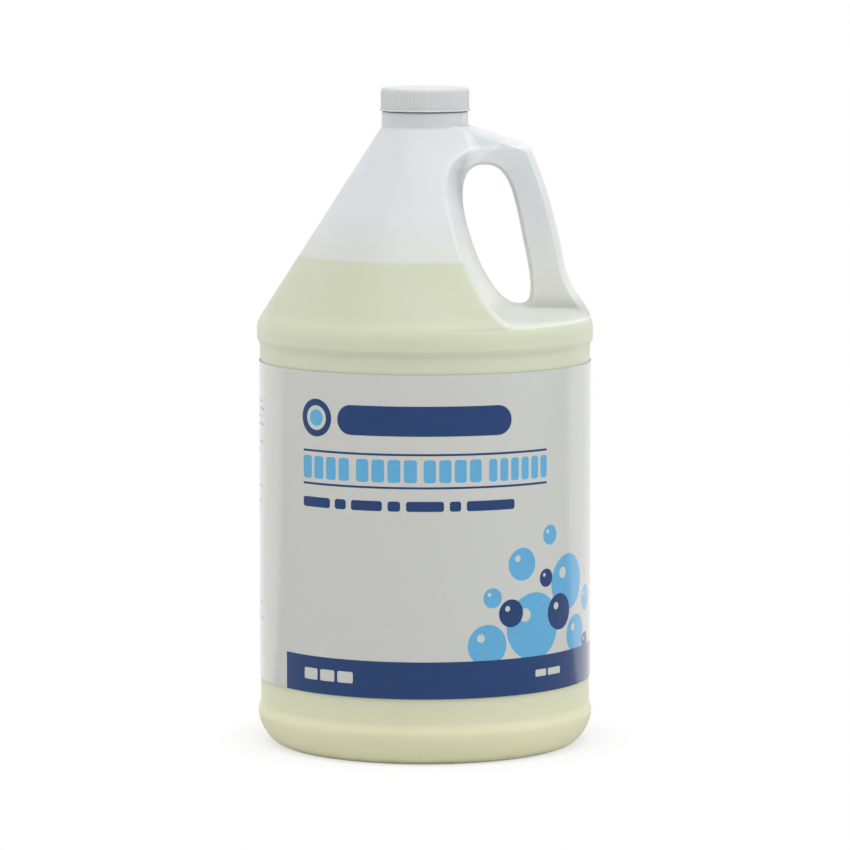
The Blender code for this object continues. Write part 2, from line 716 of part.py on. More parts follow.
def make_liner():
    """Foam disc that seals the rim, inside the top of the cap."""
    bm = bmesh.new()
    radius = CAP_BORE_RADIUS - SEAT_GAP
    bottom = polygon_ring(bm, radius, LINER_BOTTOM, CAP_SIDES)
    top = polygon_ring(bm, radius, LINER_BOTTOM + LINER_THICKNESS, CAP_SIDES)
    stitch(bm, bottom, top)
    bm.faces.new(bottom)
    bm.faces.new(top)
    return finish_mesh(bm, "cap_liner", LINER_COLOUR, 0.8)


def make_label():
    """Wrap label, whose outer end laps over the inner one at the back."""
    bm = bmesh.new()
    bottom = PANEL_BOTTOM + LABEL_MARGIN_BELOW
    top = PANEL_TOP - LABEL_MARGIN_ABOVE
    step_angle = 2.0 * math.pi / LABEL_SIDES
    lap = max(1, int(round(LABEL_OVERLAP / step_angle)))
    loops = []
    for step in range(LABEL_SIDES + lap + 1):
        angle = LABEL_SEAM_ANGLE + step * step_angle
        raised = (LABEL_THICKNESS + LABEL_LAP_GAP) * (step >= LABEL_SIDES - 1)
        inner = PANEL_RADIUS + SEAT_GAP + raised
        outer = inner + LABEL_THICKNESS
        corners = ((inner, bottom), (outer, bottom), (outer, top), (inner, top))
        loops.append([bm.verts.new((r * math.cos(angle), r * math.sin(angle), z))
                      for r, z in corners])
    for first, second in zip(loops[:-1], loops[1:]):
        for i in range(4):
            following = (i + 1) % 4
            bm.faces.new([first[i], first[following], second[following], second[i]])
    bm.faces.new(loops[0])
    bm.faces.new(loops[-1])
    return finish_mesh(bm, "label", LABEL_COLOUR, 0.25)


def main():
    """Model the jug and the pieces on it."""
    for obj in list(bpy.data.objects):
        bpy.data.objects.remove(obj, do_unlink=True)
    make_bottle()
    make_soap()
    make_label()
    make_liner()
    make_cap()


main()
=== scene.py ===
import math

import bpy
import numpy as np
from bpy.props import FloatProperty, FloatVectorProperty, IntProperty, PointerProperty
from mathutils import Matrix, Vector
from mathutils.geometry import delaunay_2d_cdt


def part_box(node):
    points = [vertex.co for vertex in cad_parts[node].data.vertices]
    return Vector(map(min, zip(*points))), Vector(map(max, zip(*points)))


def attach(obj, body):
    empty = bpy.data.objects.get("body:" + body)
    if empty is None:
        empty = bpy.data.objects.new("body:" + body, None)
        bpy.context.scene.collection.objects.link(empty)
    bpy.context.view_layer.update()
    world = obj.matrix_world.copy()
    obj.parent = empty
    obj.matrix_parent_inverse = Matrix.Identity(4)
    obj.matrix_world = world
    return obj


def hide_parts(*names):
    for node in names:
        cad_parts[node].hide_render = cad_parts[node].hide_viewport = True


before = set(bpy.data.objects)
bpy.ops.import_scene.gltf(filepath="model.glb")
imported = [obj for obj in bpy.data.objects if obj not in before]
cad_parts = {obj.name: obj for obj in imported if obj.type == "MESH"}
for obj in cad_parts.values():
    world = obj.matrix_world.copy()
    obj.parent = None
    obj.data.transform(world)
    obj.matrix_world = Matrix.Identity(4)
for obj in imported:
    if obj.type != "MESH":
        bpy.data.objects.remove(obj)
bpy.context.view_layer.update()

bl_info = {
    "name": "Refill Jug",
    "version": (1, 0, 0),
    "blender": (4, 5, 0),
    "location": "View3D > Sidebar > Refill Jug",
    "description": "Dresses a round refill jug: blown wall, soap, wrap label, cap and stage",
    "category": "Add Mesh",
}

SOAP_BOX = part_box("soap")
LABEL_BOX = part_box("label")
CAP_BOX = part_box("cap")
# Headings round the axis, from the far side, at which a round row changes its spacing of columns
RECESS_HEADING = math.radians(112.0)
HOLE_HEADING = math.radians(123.75)
# Distance between the label and the panel that it lies on
LABEL_STANDOFF = 0.0003
# Places of the sockets of a node that mixes colours
MIX_FACTOR, MIX_FIRST, MIX_SECOND, MIX_COLOUR = 0, 6, 7, 2


def tone(red, green, blue):
    """Linear colour of a tone that is given from 0 to 255 as a screen shows it."""
    shares = (red / 255.0, green / 255.0, blue / 255.0)
    return tuple(s / 12.92 if s <= 0.04045 else ((s + 0.055) / 1.055) ** 2.4 for s in shares)


def length(name, description, default):
    """Size in metres."""
    return FloatProperty(name=name, description=description, default=default, min=0.0,
                         unit="LENGTH", precision=5)


def angle(name, description, degrees):
    """Angle, given in degrees."""
    return FloatProperty(name=name, description=description, default=math.radians(degrees),
                         subtype="ANGLE")


def number(name, description, default):
    """Plain number."""
    return FloatProperty(name=name, description=description, default=default, precision=3)


def count(name, description, default):
    """Whole number."""
    return IntProperty(name=name, description=description, default=default, min=1)


def colour(name, description, default):
    """Colour of a finish."""
    return FloatVectorProperty(name=name, description=description, default=default, size=3,
                               subtype="COLOR", min=0.0, max=1.0)


class JugBody(bpy.types.PropertyGroup):
    """Sizes of the round body, from the foot up to the neck."""

    foot_radius: length("Foot Radius", "Outer edge of the flat foot", 0.068)
    foot_width: length("Foot Width", "Width of the flat ring that the jug stands on", 0.0075)
    push_up_height: length("Push-up Height", "Rise of the middle of the base", 0.0045)
    push_up_slope: length("Push-up Slope", "Width of the slope round the raised base", 0.009)
    heel_width: length("Heel Width", "How far the rounded heel reaches out", 0.00975)
    heel_height: length("Heel Height", "Height of the rounded heel", 0.0142)
    heel_fullness: number("Heel Fullness", "How full the heel's curve is: 2 is an ellipse", 1.6)
    lower_bumper: length("Lower Bumper", "Height of the lower bumper's straight side", 0.0003)
    lower_step: length("Lower Step", "Height of the step above the lower bumper", 0.0055)
    upper_step: length("Upper Step", "Height of the step below the upper bumper", 0.0045)
    panel_inset: length("Panel Inset", "How far the label panel lies inside the bumpers", 0.00125)
    panel_height: length("Panel Height", "Height of the label panel", 0.165)
    upper_overhang: length("Upper Overhang", "Extra reach of the upper bumper", 0.00015)
    upper_bumper: length("Upper Bumper", "Height of the upper bumper's side", 0.0066)
    shoulder_rounding: length("Shoulder Rounding", "Radius of the shoulder's corner", 0.012)
    cone_height: length("Cone Height", "Height of the cone from shoulder to neck", 0.09)
    neck_radius: length("Neck Radius", "Radius of the neck", 0.02)
    neck_height: length("Neck Height", "Height of the neck below the finish", 0.0069)
    neck_taper: length("Neck Taper", "How far the top of the neck draws in", 0.00015)
    neck_taper_height: length("Neck Taper Height", "Height of that taper", 0.0006)
    wall: length("Wall", "Thickness of the blown wall", 0.001)
    soap_gap: length("Soap Gap", "Gap between the wall and the soap", 0.0003)
    columns: count("Columns", "Columns of the wall from the far side to the recess", 66)
    recess_columns: count("Recess Columns", "Columns across the recess's wall", 16)
    handle_columns: count("Handle Columns", "Columns from the hole to the grip's outer line", 46)


class JugHandle(bpy.types.PropertyGroup):
    """Sizes of the through handle and of the recess behind it."""

    reach: length("Reach", "Distance from the axis to the grip's outer line", 0.0617)
    half_width: length("Half Width", "Half the width of the grip", 0.014)
    rounding: length("Rounding", "Rounding of the grip's outer edges", 0.0036)
    hole_rounding: length("Hole Rounding", "Rounding of the grip's edges at the hole", 0.0022)
    squareness: number("Squareness", "How square the grip's section is", 2.4)
    root_width: length("Root Width", "Width over which the handle leaves the neck", 0.022)
    root_spread: length("Root Spread", "How much wider the handle is where it leaves the cone",
                        0.0085)
    root_run: length("Root Run", "Length over which that width goes", 0.04)
    root_height: length("Root Height", "Height over which it leaves the shoulder", 0.00395)
    arc_radius: length("Arc Radius", "Radius of the grip's outer line", 0.2426)
    tilt: angle("Tilt", "Lean of the grip towards the neck", 12.7)
    depth: length("Depth", "Depth of the grip from hole to outer line", 0.0168)
    flare_tilt: angle("Flare Tilt", "Lean of the flare at the grip's foot", 35.8)
    flare_rise: length("Flare Rise", "Start of the flare above the shoulder", 0.0025)
    flare_rounding: length("Flare Rounding", "Rounding of the flare", 0.005)
    brow_tilt: angle("Brow Tilt", "Fall of the handle's top", 17.6)
    brow_rise: length("Brow Rise", "Start of the handle's top above the neck's foot", 0.0008)
    brow_rounding: length("Brow Rounding", "Rounding of the handle's top corner", 0.006)
    hole_width: length("Hole Width", "Width of the finger hole", 0.0242)
    hole_rise: length("Hole Rise", "Foot of the hole above the shoulder", 0.0079)
    hole_headroom: length("Hole Headroom", "Top of the hole below the neck's foot", 0.0173)
    hole_lean: number("Hole Lean", "Sideways shift of the hole over its height", -0.2504)
    hole_bow: length("Hole Bow", "Bow of the hole towards the handle", 0.0027)
    hole_taper: number("Hole Taper", "Widening of the hole towards its top", 0.123)
    hole_squareness: number("Hole Squareness", "How square the hole's ends are", 2.57)
    recess_width: length("Recess Width", "Width of the recess's wall round the hole", 0.0057)
    recess_softness: number("Recess Softness", "Rounding of the recess's edge", 0.2)
    recess_crown: number("Recess Crown", "Extra width of the recess over the hole, as a share",
                         0.55)
    bead_height: length("Bead Height", "Height of the fine bead round the recess", 0.0004)
    bead_width: length("Bead Width", "Half width of that bead", 0.0005)
    border: length("Border", "Distance of the bead from the grip's outer line", 0.0027)
    blend: number("Blend", "Sharpness of the joins between body and handle", 3.2)


class JugClosure(bpy.types.PropertyGroup):
    """Sizes of the threaded finish and of the cap on it."""

    finish_radius: length("Finish Radius", "Radius of the finish between its threads", 0.01745)
    finish_height: length("Finish Height", "Height of the finish", 0.0082)
    bore_radius: length("Bore Radius", "Radius inside the finish", 0.01575)
    bore_lead_in: length("Bore Lead-in", "Height over which the neck narrows inside", 0.002)
    rim_chamfer: length("Rim Chamfer", "Rounding of the finish's rim", 0.0004)
    thread_depth: length("Thread Depth", "Height of the thread's ridge", 0.00125)
    thread_pitch: length("Thread Pitch", "Rise of the thread in one turn", 0.0042333)
    thread_root: length("Thread Root", "Width of the ridge at its root", 0.002)
    thread_crest: length("Thread Crest", "Width of the ridge at its crest", 0.001)
    thread_turns: number("Thread Turns", "Turns of the thread on the finish", 1.12)
    thread_drop: length("Thread Drop", "Top of the thread below the rim", 0.0016)
    thread_fade: angle("Thread Fade", "Angle over which the thread runs out", 40.0)
    clearance: length("Clearance", "Play between the cap and the thread", 0.00038)
    cap_wall: length("Cap Wall", "Thickness of the cap's skirt", 0.0011)
    cap_top: length("Cap Top", "Thickness of the cap's top", 0.0014)
    cap_rounding: length("Cap Rounding", "Rounding of the cap's top edge", 0.0012)
    rim_overhang: length("Rim Overhang", "Reach of the cap's rim past its skirt", 0.0009)
    rim_height: length("Rim Height", "Height of the cap's rim", 0.0008)
    cap_thread_turns: number("Cap Thread Turns", "Turns of the thread in the cap", 1.05)
    cap_thread_lift: length("Cap Thread Lift", "Start of that thread above the rim", 0.0014)
    engagement: length("Engagement", "Height between the two threads' middles", 0.0018)
    ribs: count("Ribs", "Ribs round the cap", 120)
    rib_height: length("Rib Height", "Height of the ribs", 0.00025)


class JugLabel(bpy.types.PropertyGroup):
    """Sizes of the wrap label and of its printed shapes."""

    thickness: length("Thickness", "Thickness of the film", 0.0002)
    lap_gap: length("Lap Gap", "Gap under the lapped end", 0.0001)
    lap: angle("Lap", "Overlap of the two ends at the back", 6.0)
    columns: count("Columns", "Columns of the film round the jug", 240)
    band_left: length("Band Left", "Start of the printed band left of the middle", 0.0742)
    band_right: length("Band Right", "End of the printed band right of the middle", 0.1220)
    band_height: length("Band Height", "Height of the printed band", 0.0170)


class JugColours(bpy.types.PropertyGroup):
    """Colours of the jug's finishes, some with painted light."""

    wall_high: colour("Wall High", "Bare wall above the soap", tone(211, 216, 219))
    wall_line: colour("Wall at the Line", "Bare wall just above the soap", tone(209, 211, 205))
    # Painted light: recess and handle are drawn lighter than the bare wall, as light shining
    # through them
    thin_wall_painted_light: colour("Thin Wall", "Thin wall of recess and handle, which lets light through",
                      tone(224, 228, 230))
    # Painted light: the handle's foot is drawn lighter still
    handle_foot_painted_light: colour("Handle Foot Painted Light", "The same at the handle's foot", tone(240, 241, 231))
    wall_ledge: colour("Ledge", "Ledge under the finger hole", tone(197, 200, 191))
    # Painted highlight: a light line along the recess's edge
    rim_painted_highlight: colour("Rim Highlight", "Painted highlight along the recess's edge", tone(236, 238, 237))
    soap_top: colour("Soap Top", "Wall with soap behind it, at the level", tone(198, 202, 175))
    soap_deep: colour("Soap Deep", "Wall with soap behind it, at the belt", tone(217, 222, 191))
    # Painted light: the soap-tinted wall is drawn lighter towards the heel
    soap_foot_painted_light: colour("Soap Foot Painted Light", "Wall with soap behind it, at the heel", tone(237, 235, 190))
    liquid: colour("Liquid", "The soap itself", tone(232, 236, 190))
    film: colour("Film", "White film of the label", tone(192, 193, 188))
    navy: colour("Navy", "Dark blue print", tone(8, 52, 104))
    sky: colour("Sky", "Light blue print", tone(88, 161, 203))
    cap: colour("Cap", "White cap", tone(198, 200, 200))
    foam: colour("Foam", "Foam liner", tone(236, 236, 230))


class JugStage(bpy.types.PropertyGroup):
    """Places and levels of the floor, lamps and camera."""

    camera_distance: length("Camera Distance", "Camera in front of the jug's axis", 2.26)
    camera_height: length("Camera Height", "Camera above the floor", 0.396)
    aim_height: length("Aim Height", "Height that the camera looks at", 0.1475)
    lens: FloatProperty(name="Lens", description="Focal length of the camera", default=207.3,
                        unit="CAMERA")
    back_level: number("Back Level", "Light from behind and from the sides", 0.85)
    front_level: number("Front Level", "Light from the side of the camera", 0.35)
    left_level: number("Left Level", "Power of the lamp on the left in watts", 2.2)
    right_level: number("Right Level", "Power of the lamp on the right in watts", 4.0)
    key_level: number("Key Level", "Power of the lamp overhead in watts", 20.0)
    sheen_front: number("Sheen Front", "What gloss shows from the side of the camera", 0.45)
    sheen_edge: number("Sheen Edge", "Heading, as a share of +Y, at which gloss turns white", 0.42)
    floor_level: number("Floor Level", "Light that falls on the bare floor", 1.4)
    shadow_share: number("Shadow Share", "How much of the floor's tone is its shadow", 0.28)
    shadow_reach: length("Shadow Reach", "Distance from the axis at which the shadow ends", 0.104)


def smooth_step(value):
    """Ease from 0 to 1."""
    value = np.clip(value, 0.0, 1.0)
    return value * value * (3.0 - 2.0 * value)


def smooth_min(a, b, width):
    """Smaller of two values, rounded over the given width."""
    overlap = np.maximum(width - np.abs(a - b), 0.0) / width
    return np.minimum(a, b) - overlap * overlap * width / 4.0


def smooth_max(a, b, width):
    """Larger of two values, rounded over the given width."""
    return -smooth_min(-a, -b, width)


def offset_outline(points, distance):
    """Shift an open outline sideways, to its left as it runs."""
    run = np.gradient(points, axis=0)
    run /= np.hypot(run[:, 0], run[:, 1])[:, None]
    return points + distance * np.column_stack((-run[:, 1], run[:, 0]))


def distance_to(outline, x, z):
    """Shortest distance from each point (x, z) to an open outline."""
    start = outline[:-1]
    run = outline[1:] - start
    span = np.maximum((run ** 2).sum(axis=1), 1e-18)
    to_point = np.column_stack((x, z))[:, None, :] - start[None]
    share = np.clip((to_point * run[None]).sum(axis=2) / span, 0.0, 1.0)
    gap = to_point - share[:, :, None] * run[None]
    return np.sqrt((gap ** 2).sum(axis=2)).min(axis=1)


def fillet(corner, before, after, radius, steps):
    """Points of the arc that rounds a corner between two directions away from it."""
    corner, before, after = (np.array(v, dtype=float) for v in (corner, before, after))
    before /= np.hypot(*before)
    after /= np.hypot(*after)
    half = math.acos(float(np.clip(before @ after, -1.0, 1.0))) / 2.0
    middle = before + after
    centre = corner + middle / np.hypot(*middle) * radius / math.sin(half)
    first = corner + before * radius / math.tan(half) - centre
    last = corner + after * radius / math.tan(half) - centre
    turn = math.pi - 2.0 * half
    shares = np.linspace(0.0, 1.0, steps + 1)[:, None]
    arc = np.sin((1.0 - shares) * turn) * first + np.sin(shares * turn) * last
    return centre + arc / math.sin(turn)


class Heights:
    """Heights and radii that follow from the body's and the closure's sizes."""

    def __init__(self, body, closure):
        self.bumper_radius = body.foot_radius + body.heel_width
        self.panel_radius = self.bumper_radius - body.panel_inset
        self.upper_radius = self.bumper_radius + body.upper_overhang
        self.lower_bumper_top = body.heel_height + body.lower_bumper
        self.panel_bottom = self.lower_bumper_top + body.lower_step
        self.panel_top = self.panel_bottom + body.panel_height
        self.shoulder = self.panel_top + body.upper_step + body.upper_bumper
        self.neck_base = self.shoulder + body.cone_height
        self.neck_top = self.neck_base + body.neck_height
        self.finish_top = self.neck_top + closure.finish_height
        self.thread_bottom = (self.finish_top - closure.thread_drop
                              - closure.thread_turns * closure.thread_pitch)


class Row:
    """Points of one horizontal section: columns left of the hole and right of it."""

    def __init__(self, z, left, right):
        self.z = z
        self.left = left
        self.right = right


class Skin:
    """One closed surface of the wall, inset from its outside by a given distance."""

    def __init__(self, body, handle, heights, inset, columns, steps):
        self.body = body
        self.handle = handle
        self.heights = heights
        self.inset = inset
        self.columns = columns
        self.steps = steps
        self.half_width = handle.half_width - inset
        self.side = offset_outline(self.side_profile(), inset)
        self.side[0] = (body.foot_radius, inset)
        self.side[-1] = (body.neck_radius - inset, heights.neck_base)
        edge = offset_outline(self.handle_outline(), inset)
        edge[0] = (heights.upper_radius - inset, heights.shoulder)
        edge[-1] = (body.neck_radius - inset, heights.neck_base + handle.brow_rise)
        self.edge = edge
        below = (edge[0][0], edge[0][1] - body.cone_height)
        above = (edge[-1][0], edge[-1][1] + body.neck_height)
        self.edge_line = np.vstack((below, edge, above))
        left, right = self.hole_outline()
        loop = np.vstack((left, right[-2:0:-1], left[:2]))
        loop = offset_outline(np.vstack((loop[-3:-2], loop)), inset)[1:-1]
        self.hole_line = np.vstack((loop, loop[:1]))
        self.set_hole(loop)

    def side_profile(self):
        """Radius and height of the wall, from the foot's outer edge to the neck."""
        body, at = self.body, self.heights
        turn = np.linspace(0.0, math.pi / 2.0, self.steps + 1)
        power = 2.0 / body.heel_fullness
        heel = np.column_stack((body.foot_radius + body.heel_width * np.sin(turn) ** power,
                                body.heel_height * (1.0 - np.abs(np.cos(turn)) ** power)))
        share = np.linspace(0.0, 1.0, self.steps)
        ease = smooth_step(share)
        low = np.column_stack((at.bumper_radius - body.panel_inset * ease,
                               at.lower_bumper_top + share * body.lower_step))
        high = np.column_stack((at.panel_radius + (at.upper_radius - at.panel_radius) * ease,
                                at.panel_top + share * body.upper_step))
        panel = np.linspace(at.panel_bottom, at.panel_top, self.steps + 2)[1:-1]
        panel = np.column_stack((np.full_like(panel, at.panel_radius), panel))
        cone_run = (body.neck_radius - at.upper_radius, body.cone_height)
        shoulder = fillet((at.upper_radius, at.shoulder), (0.0, -1.0), cone_run,
                          body.shoulder_rounding, self.steps)
        return np.vstack((heel, low, panel, high, shoulder, (body.neck_radius, at.neck_base)))

    def grip_arc(self, z):
        """Outer line of the grip, a shallow arc that leans towards the neck."""
        handle = self.handle
        bottom, top = self.hole_ends()
        centre_x = handle.reach - handle.arc_radius * math.cos(handle.tilt)
        centre_z = (bottom + top) / 2.0 - handle.arc_radius * math.sin(handle.tilt)
        return centre_x + np.sqrt(np.maximum(handle.arc_radius ** 2 - (z - centre_z) ** 2, 0.0))

    def hole_ends(self):
        """Heights of the finger hole's bottom and top."""
        handle, at = self.handle, self.heights
        return at.shoulder + handle.hole_rise, at.neck_base - handle.hole_headroom

    def handle_outline(self):
        """Outer line of the handle from the upper bumper to the neck, as (x, z)."""
        body, handle, at = self.body, self.handle, self.heights
        top = at.neck_base + handle.brow_rise
        z = np.linspace(at.shoulder, top, 320)
        brow = body.neck_radius + (top - z) / math.tan(handle.brow_tilt)
        above = z - at.shoulder - handle.flare_rise
        flare = at.upper_radius - above * math.tan(handle.flare_tilt)
        line = smooth_min(self.grip_arc(z), brow, handle.brow_rounding)
        line = smooth_max(line, flare, handle.flare_rounding)
        line = smooth_min(line, at.upper_radius, handle.flare_rounding)
        return np.column_stack((np.maximum(line, body.neck_radius), z))

    def hole_outline(self):
        """Left and right sides of the finger hole, each from its bottom to its top."""
        handle = self.handle
        turn = np.linspace(0.0, math.pi, 320)
        power = 2.0 / handle.hole_squareness
        rise = -np.sign(np.cos(turn)) * np.abs(np.cos(turn)) ** power
        spread = np.abs(np.sin(turn)) ** power * (1.0 + handle.hole_taper * rise)
        spread *= handle.hole_width / 2.0
        bottom, top = self.hole_ends()
        middle = (bottom + top) / 2.0
        z = middle + rise * (top - bottom) / 2.0
        centre = handle.reach - handle.depth - handle.hole_width / 2.0
        centre = centre + handle.hole_lean * (z - middle) + handle.hole_bow * rise ** 2
        return np.column_stack((centre - spread, z)), np.column_stack((centre + spread, z))

    def set_hole(self, loop):
        """Sort the hole's outline into a left and a right side over height."""
        loop = np.roll(loop, -int(np.argmin(loop[:, 1])), axis=0)
        high = int(np.argmax(loop[:, 1]))
        self.hole_left = loop[:high + 1]
        self.hole_right = np.vstack((loop[high:], loop[:1]))[::-1]
        self.hole_bottom = loop[0]
        self.hole_top = loop[high]
        far = self.heights.upper_radius * 2.0
        self.recess_line = np.vstack(((far, self.hole_bottom[1]), self.hole_left,
                                      (far, self.hole_top[1])))

    def radius(self, z):
        """Radius of the round body at a height."""
        return np.interp(z, self.side[:, 1], self.side[:, 0])

    def handle_share(self, z):
        """How much of the handle stands out at a height: none at the shoulder's corner."""
        return smooth_step((z - self.heights.shoulder) / self.handle.root_height)

    def reach(self, z):
        """How far the outline reaches towards +X at a height."""
        round_x = float(self.radius(z))
        edge_x = float(np.interp(z, self.edge[:, 1], self.edge[:, 0]))
        return round_x + max(edge_x - round_x, 0.0) * float(self.handle_share(z))

    def round_off(self, distance, rounding):
        """Rounded edge of the grip: 0 on its outline, 1 a rounding further in."""
        power = self.handle.squareness
        share = 1.0 - np.clip(distance / (rounding - self.inset), 0.0, 1.0)
        return (1.0 - share ** power) ** (1.0 / power)

    def half_depth(self, x, z):
        """Half depth of the jug, along Y, at points (x, z)."""
        handle = self.handle
        round_body = np.sqrt(np.maximum(self.radius(z) ** 2 - x ** 2, 0.0))
        gap = self.recess_gap(x, z)
        wall = np.clip(smooth_min(gap, 1.0, handle.recess_softness), 0.0, 1.0)
        edge_gap = distance_to(self.edge_line, x, z)
        across, along = round_body * wall, self.grip_depth(x, z, edge_gap)
        near = (across ** handle.blend + along ** handle.blend) ** (1.0 / handle.blend)
        width = handle.bead_width / handle.recess_width
        bead = np.exp(-((gap - 1.0) / width) ** 2) * smooth_step(round_body / 0.01)
        border = np.exp(-((edge_gap - handle.border + self.inset) / handle.bead_width) ** 2)
        bead = np.maximum(bead, 0.6 * border * smooth_step((along - across) / 0.004))
        return near + bead * handle.bead_height * self.handle_share(z)

    def grip_depth(self, x, z, edge_gap):
        """Half depth of the handle alone."""
        handle = self.handle
        grip = self.round_off(distance_to(self.hole_line, x, z), handle.hole_rounding)
        grip = grip * self.round_off(edge_gap, handle.rounding)
        above = smooth_step((z - self.hole_top[1] + 0.012) / 0.012)
        spread = handle.root_spread * above * (1.0 - smooth_step((x - 0.012) / handle.root_run))
        wide = np.minimum(spread, np.maximum(0.7 * self.radius(z) - self.half_width, 0.0))
        grip = grip * (self.half_width + wide)
        return grip * smooth_step(x / handle.root_width) * self.handle_share(z)

    def recess_gap(self, x, z):
        """Distance from the hole's side of the recess, 1 at the recess's edge."""
        handle = self.handle
        crown = smooth_step((z - self.hole_top[1] + 0.026) / 0.028)
        width = handle.recess_width * (1.0 + handle.recess_crown * crown)
        left = np.interp(z, self.hole_left[:, 1], self.hole_left[:, 0])
        inside = (z > self.hole_bottom[1]) & (z < self.hole_top[1]) & (x > left)
        return np.where(inside, 0.0, distance_to(self.recess_line, x, z) / width)

    def ring(self, radius, z):
        """Row of a round section."""
        marks = (0.0, RECESS_HEADING, HOLE_HEADING, math.pi)
        angles = [0.0]
        for number_of, start, end in zip(self.columns, marks[:-1], marks[1:]):
            angles.extend(np.linspace(start, end, number_of + 1)[1:])
        row = np.column_stack((-radius * np.cos(angles), radius * np.sin(angles)))
        row[0, 1] = row[-1, 1] = 0.0
        split = self.columns[0] + self.columns[1]
        return Row(z, row[:split + 1], row[split:])

    def run(self, z, start, end, counts, middles):
        """Columns of one stretch of a section, closer together where it curves."""
        share = (1.0 - np.cos(np.linspace(0.0, math.pi, 420))) / 2.0
        x = start + (end - start) * share
        y = self.half_depth(x, np.full_like(x, z))
        step = np.hypot(np.diff(x), np.diff(y))
        heading = np.unwrap(np.arctan2(np.diff(y), np.diff(x)))
        step[1:] += 0.008 * np.abs(np.diff(heading))
        travel = np.concatenate(([0.0], np.cumsum(step)))
        stops = [0.0, *[float(np.interp(m, x, travel)) for m in middles], travel[-1]]
        wanted = [0.0]
        for number_of, first, last in zip(counts, stops[:-1], stops[1:]):
            wanted.extend(np.linspace(first, last, number_of + 1)[1:])
        return np.column_stack((np.interp(wanted, travel, x), np.interp(wanted, travel, y)))

    def recess_column(self, z):
        """Place of the recess's edge at a height, or of the column that continues it."""
        round_x = -float(self.radius(z)) * math.cos(RECESS_HEADING)
        width = self.handle.recess_width
        line = offset_outline(self.hole_left, width)
        line = line[np.argsort(line[:, 1])]
        lowest = self.hole_bottom[1] - width * 0.85
        highest = self.hole_top[1]
        edge_x = float(np.interp(np.clip(z, lowest, highest), line[:, 1], line[:, 0]))
        below = (lowest - z) / (lowest - self.heights.shoulder)
        above = (z - highest) / (self.heights.neck_base - highest)
        share = float(smooth_step(max(below, above)))
        return (1.0 - share) * edge_x + share * round_x

    def section(self, z):
        """Row of the wall at a height, with the recess and the handle in it."""
        first, second, third = self.columns
        left_end = -float(self.radius(z))
        right_end = self.reach(z)
        bead = self.recess_column(z)
        low, high = self.hole_bottom, self.hole_top
        if low[1] < z < high[1]:
            hole_left = float(np.interp(z, self.hole_left[:, 1], self.hole_left[:, 0]))
            hole_right = float(np.interp(z, self.hole_right[:, 1], self.hole_right[:, 0]))
            left = self.run(z, left_end, hole_left, (first, second), (bead,))
            right = self.run(z, hole_right, right_end, (third,), ())
            left[-1, 1] = right[0, 1] = 0.0
        else:
            round_x = -float(self.radius(z)) * math.cos(HOLE_HEADING)
            clear = max((z - high[1]) / (self.heights.neck_base - high[1]),
                        (low[1] - z) / self.handle.hole_rise)
            share = float(smooth_step(clear))
            end_x = high[0] if z >= high[1] else low[0]
            split = (1.0 - share) * end_x + share * round_x
            whole = self.run(z, left_end, right_end, self.columns, (bead, split))
            left = whole[:first + second + 1]
            right = whole[first + second:]
            if z in (low[1], high[1]):
                left[-1, 1] = right[0, 1] = 0.0
        left[0, 1] = right[-1, 1] = 0.0
        return Row(z, left, right)

    def base_rows(self):
        """Rows of the raised base, out to the foot's edge."""
        body = self.body
        inner_foot = body.foot_radius - body.foot_width
        rows = [self.ring(inner_foot - body.push_up_slope * (1.0 - share),
                          self.inset + body.push_up_height * float(smooth_step(1.0 - share)))
                for share in np.linspace(0.0, 1.0, 7)]
        return [*rows, self.ring(body.foot_radius, self.inset)]

    def body_rows(self, hole_rows):
        """Rows of the skin from the foot's edge up to the neck."""
        low, high = self.hole_bottom[1], self.hole_top[1]
        start = low - self.handle.recess_width
        rows = [self.ring(radius, z) for radius, z in self.side[1:-1] if z < start]
        ease = (1.0 - np.cos(np.linspace(0.0, math.pi / 2.0, hole_rows // 4 + 1)))
        floor = low - (low - start) * ease[::-1]
        middle = low + (high - low) * (1.0 - np.cos(np.linspace(0.0, math.pi, hole_rows))) / 2.0
        ease = 1.0 - np.cos(np.linspace(0.0, math.pi / 2.0, hole_rows // 2 + 1))
        brow = high + (self.heights.neck_base - high) * ease
        rows.extend(self.section(float(z)) for z in (*floor, *middle[1:], *brow[1:]))
        return rows


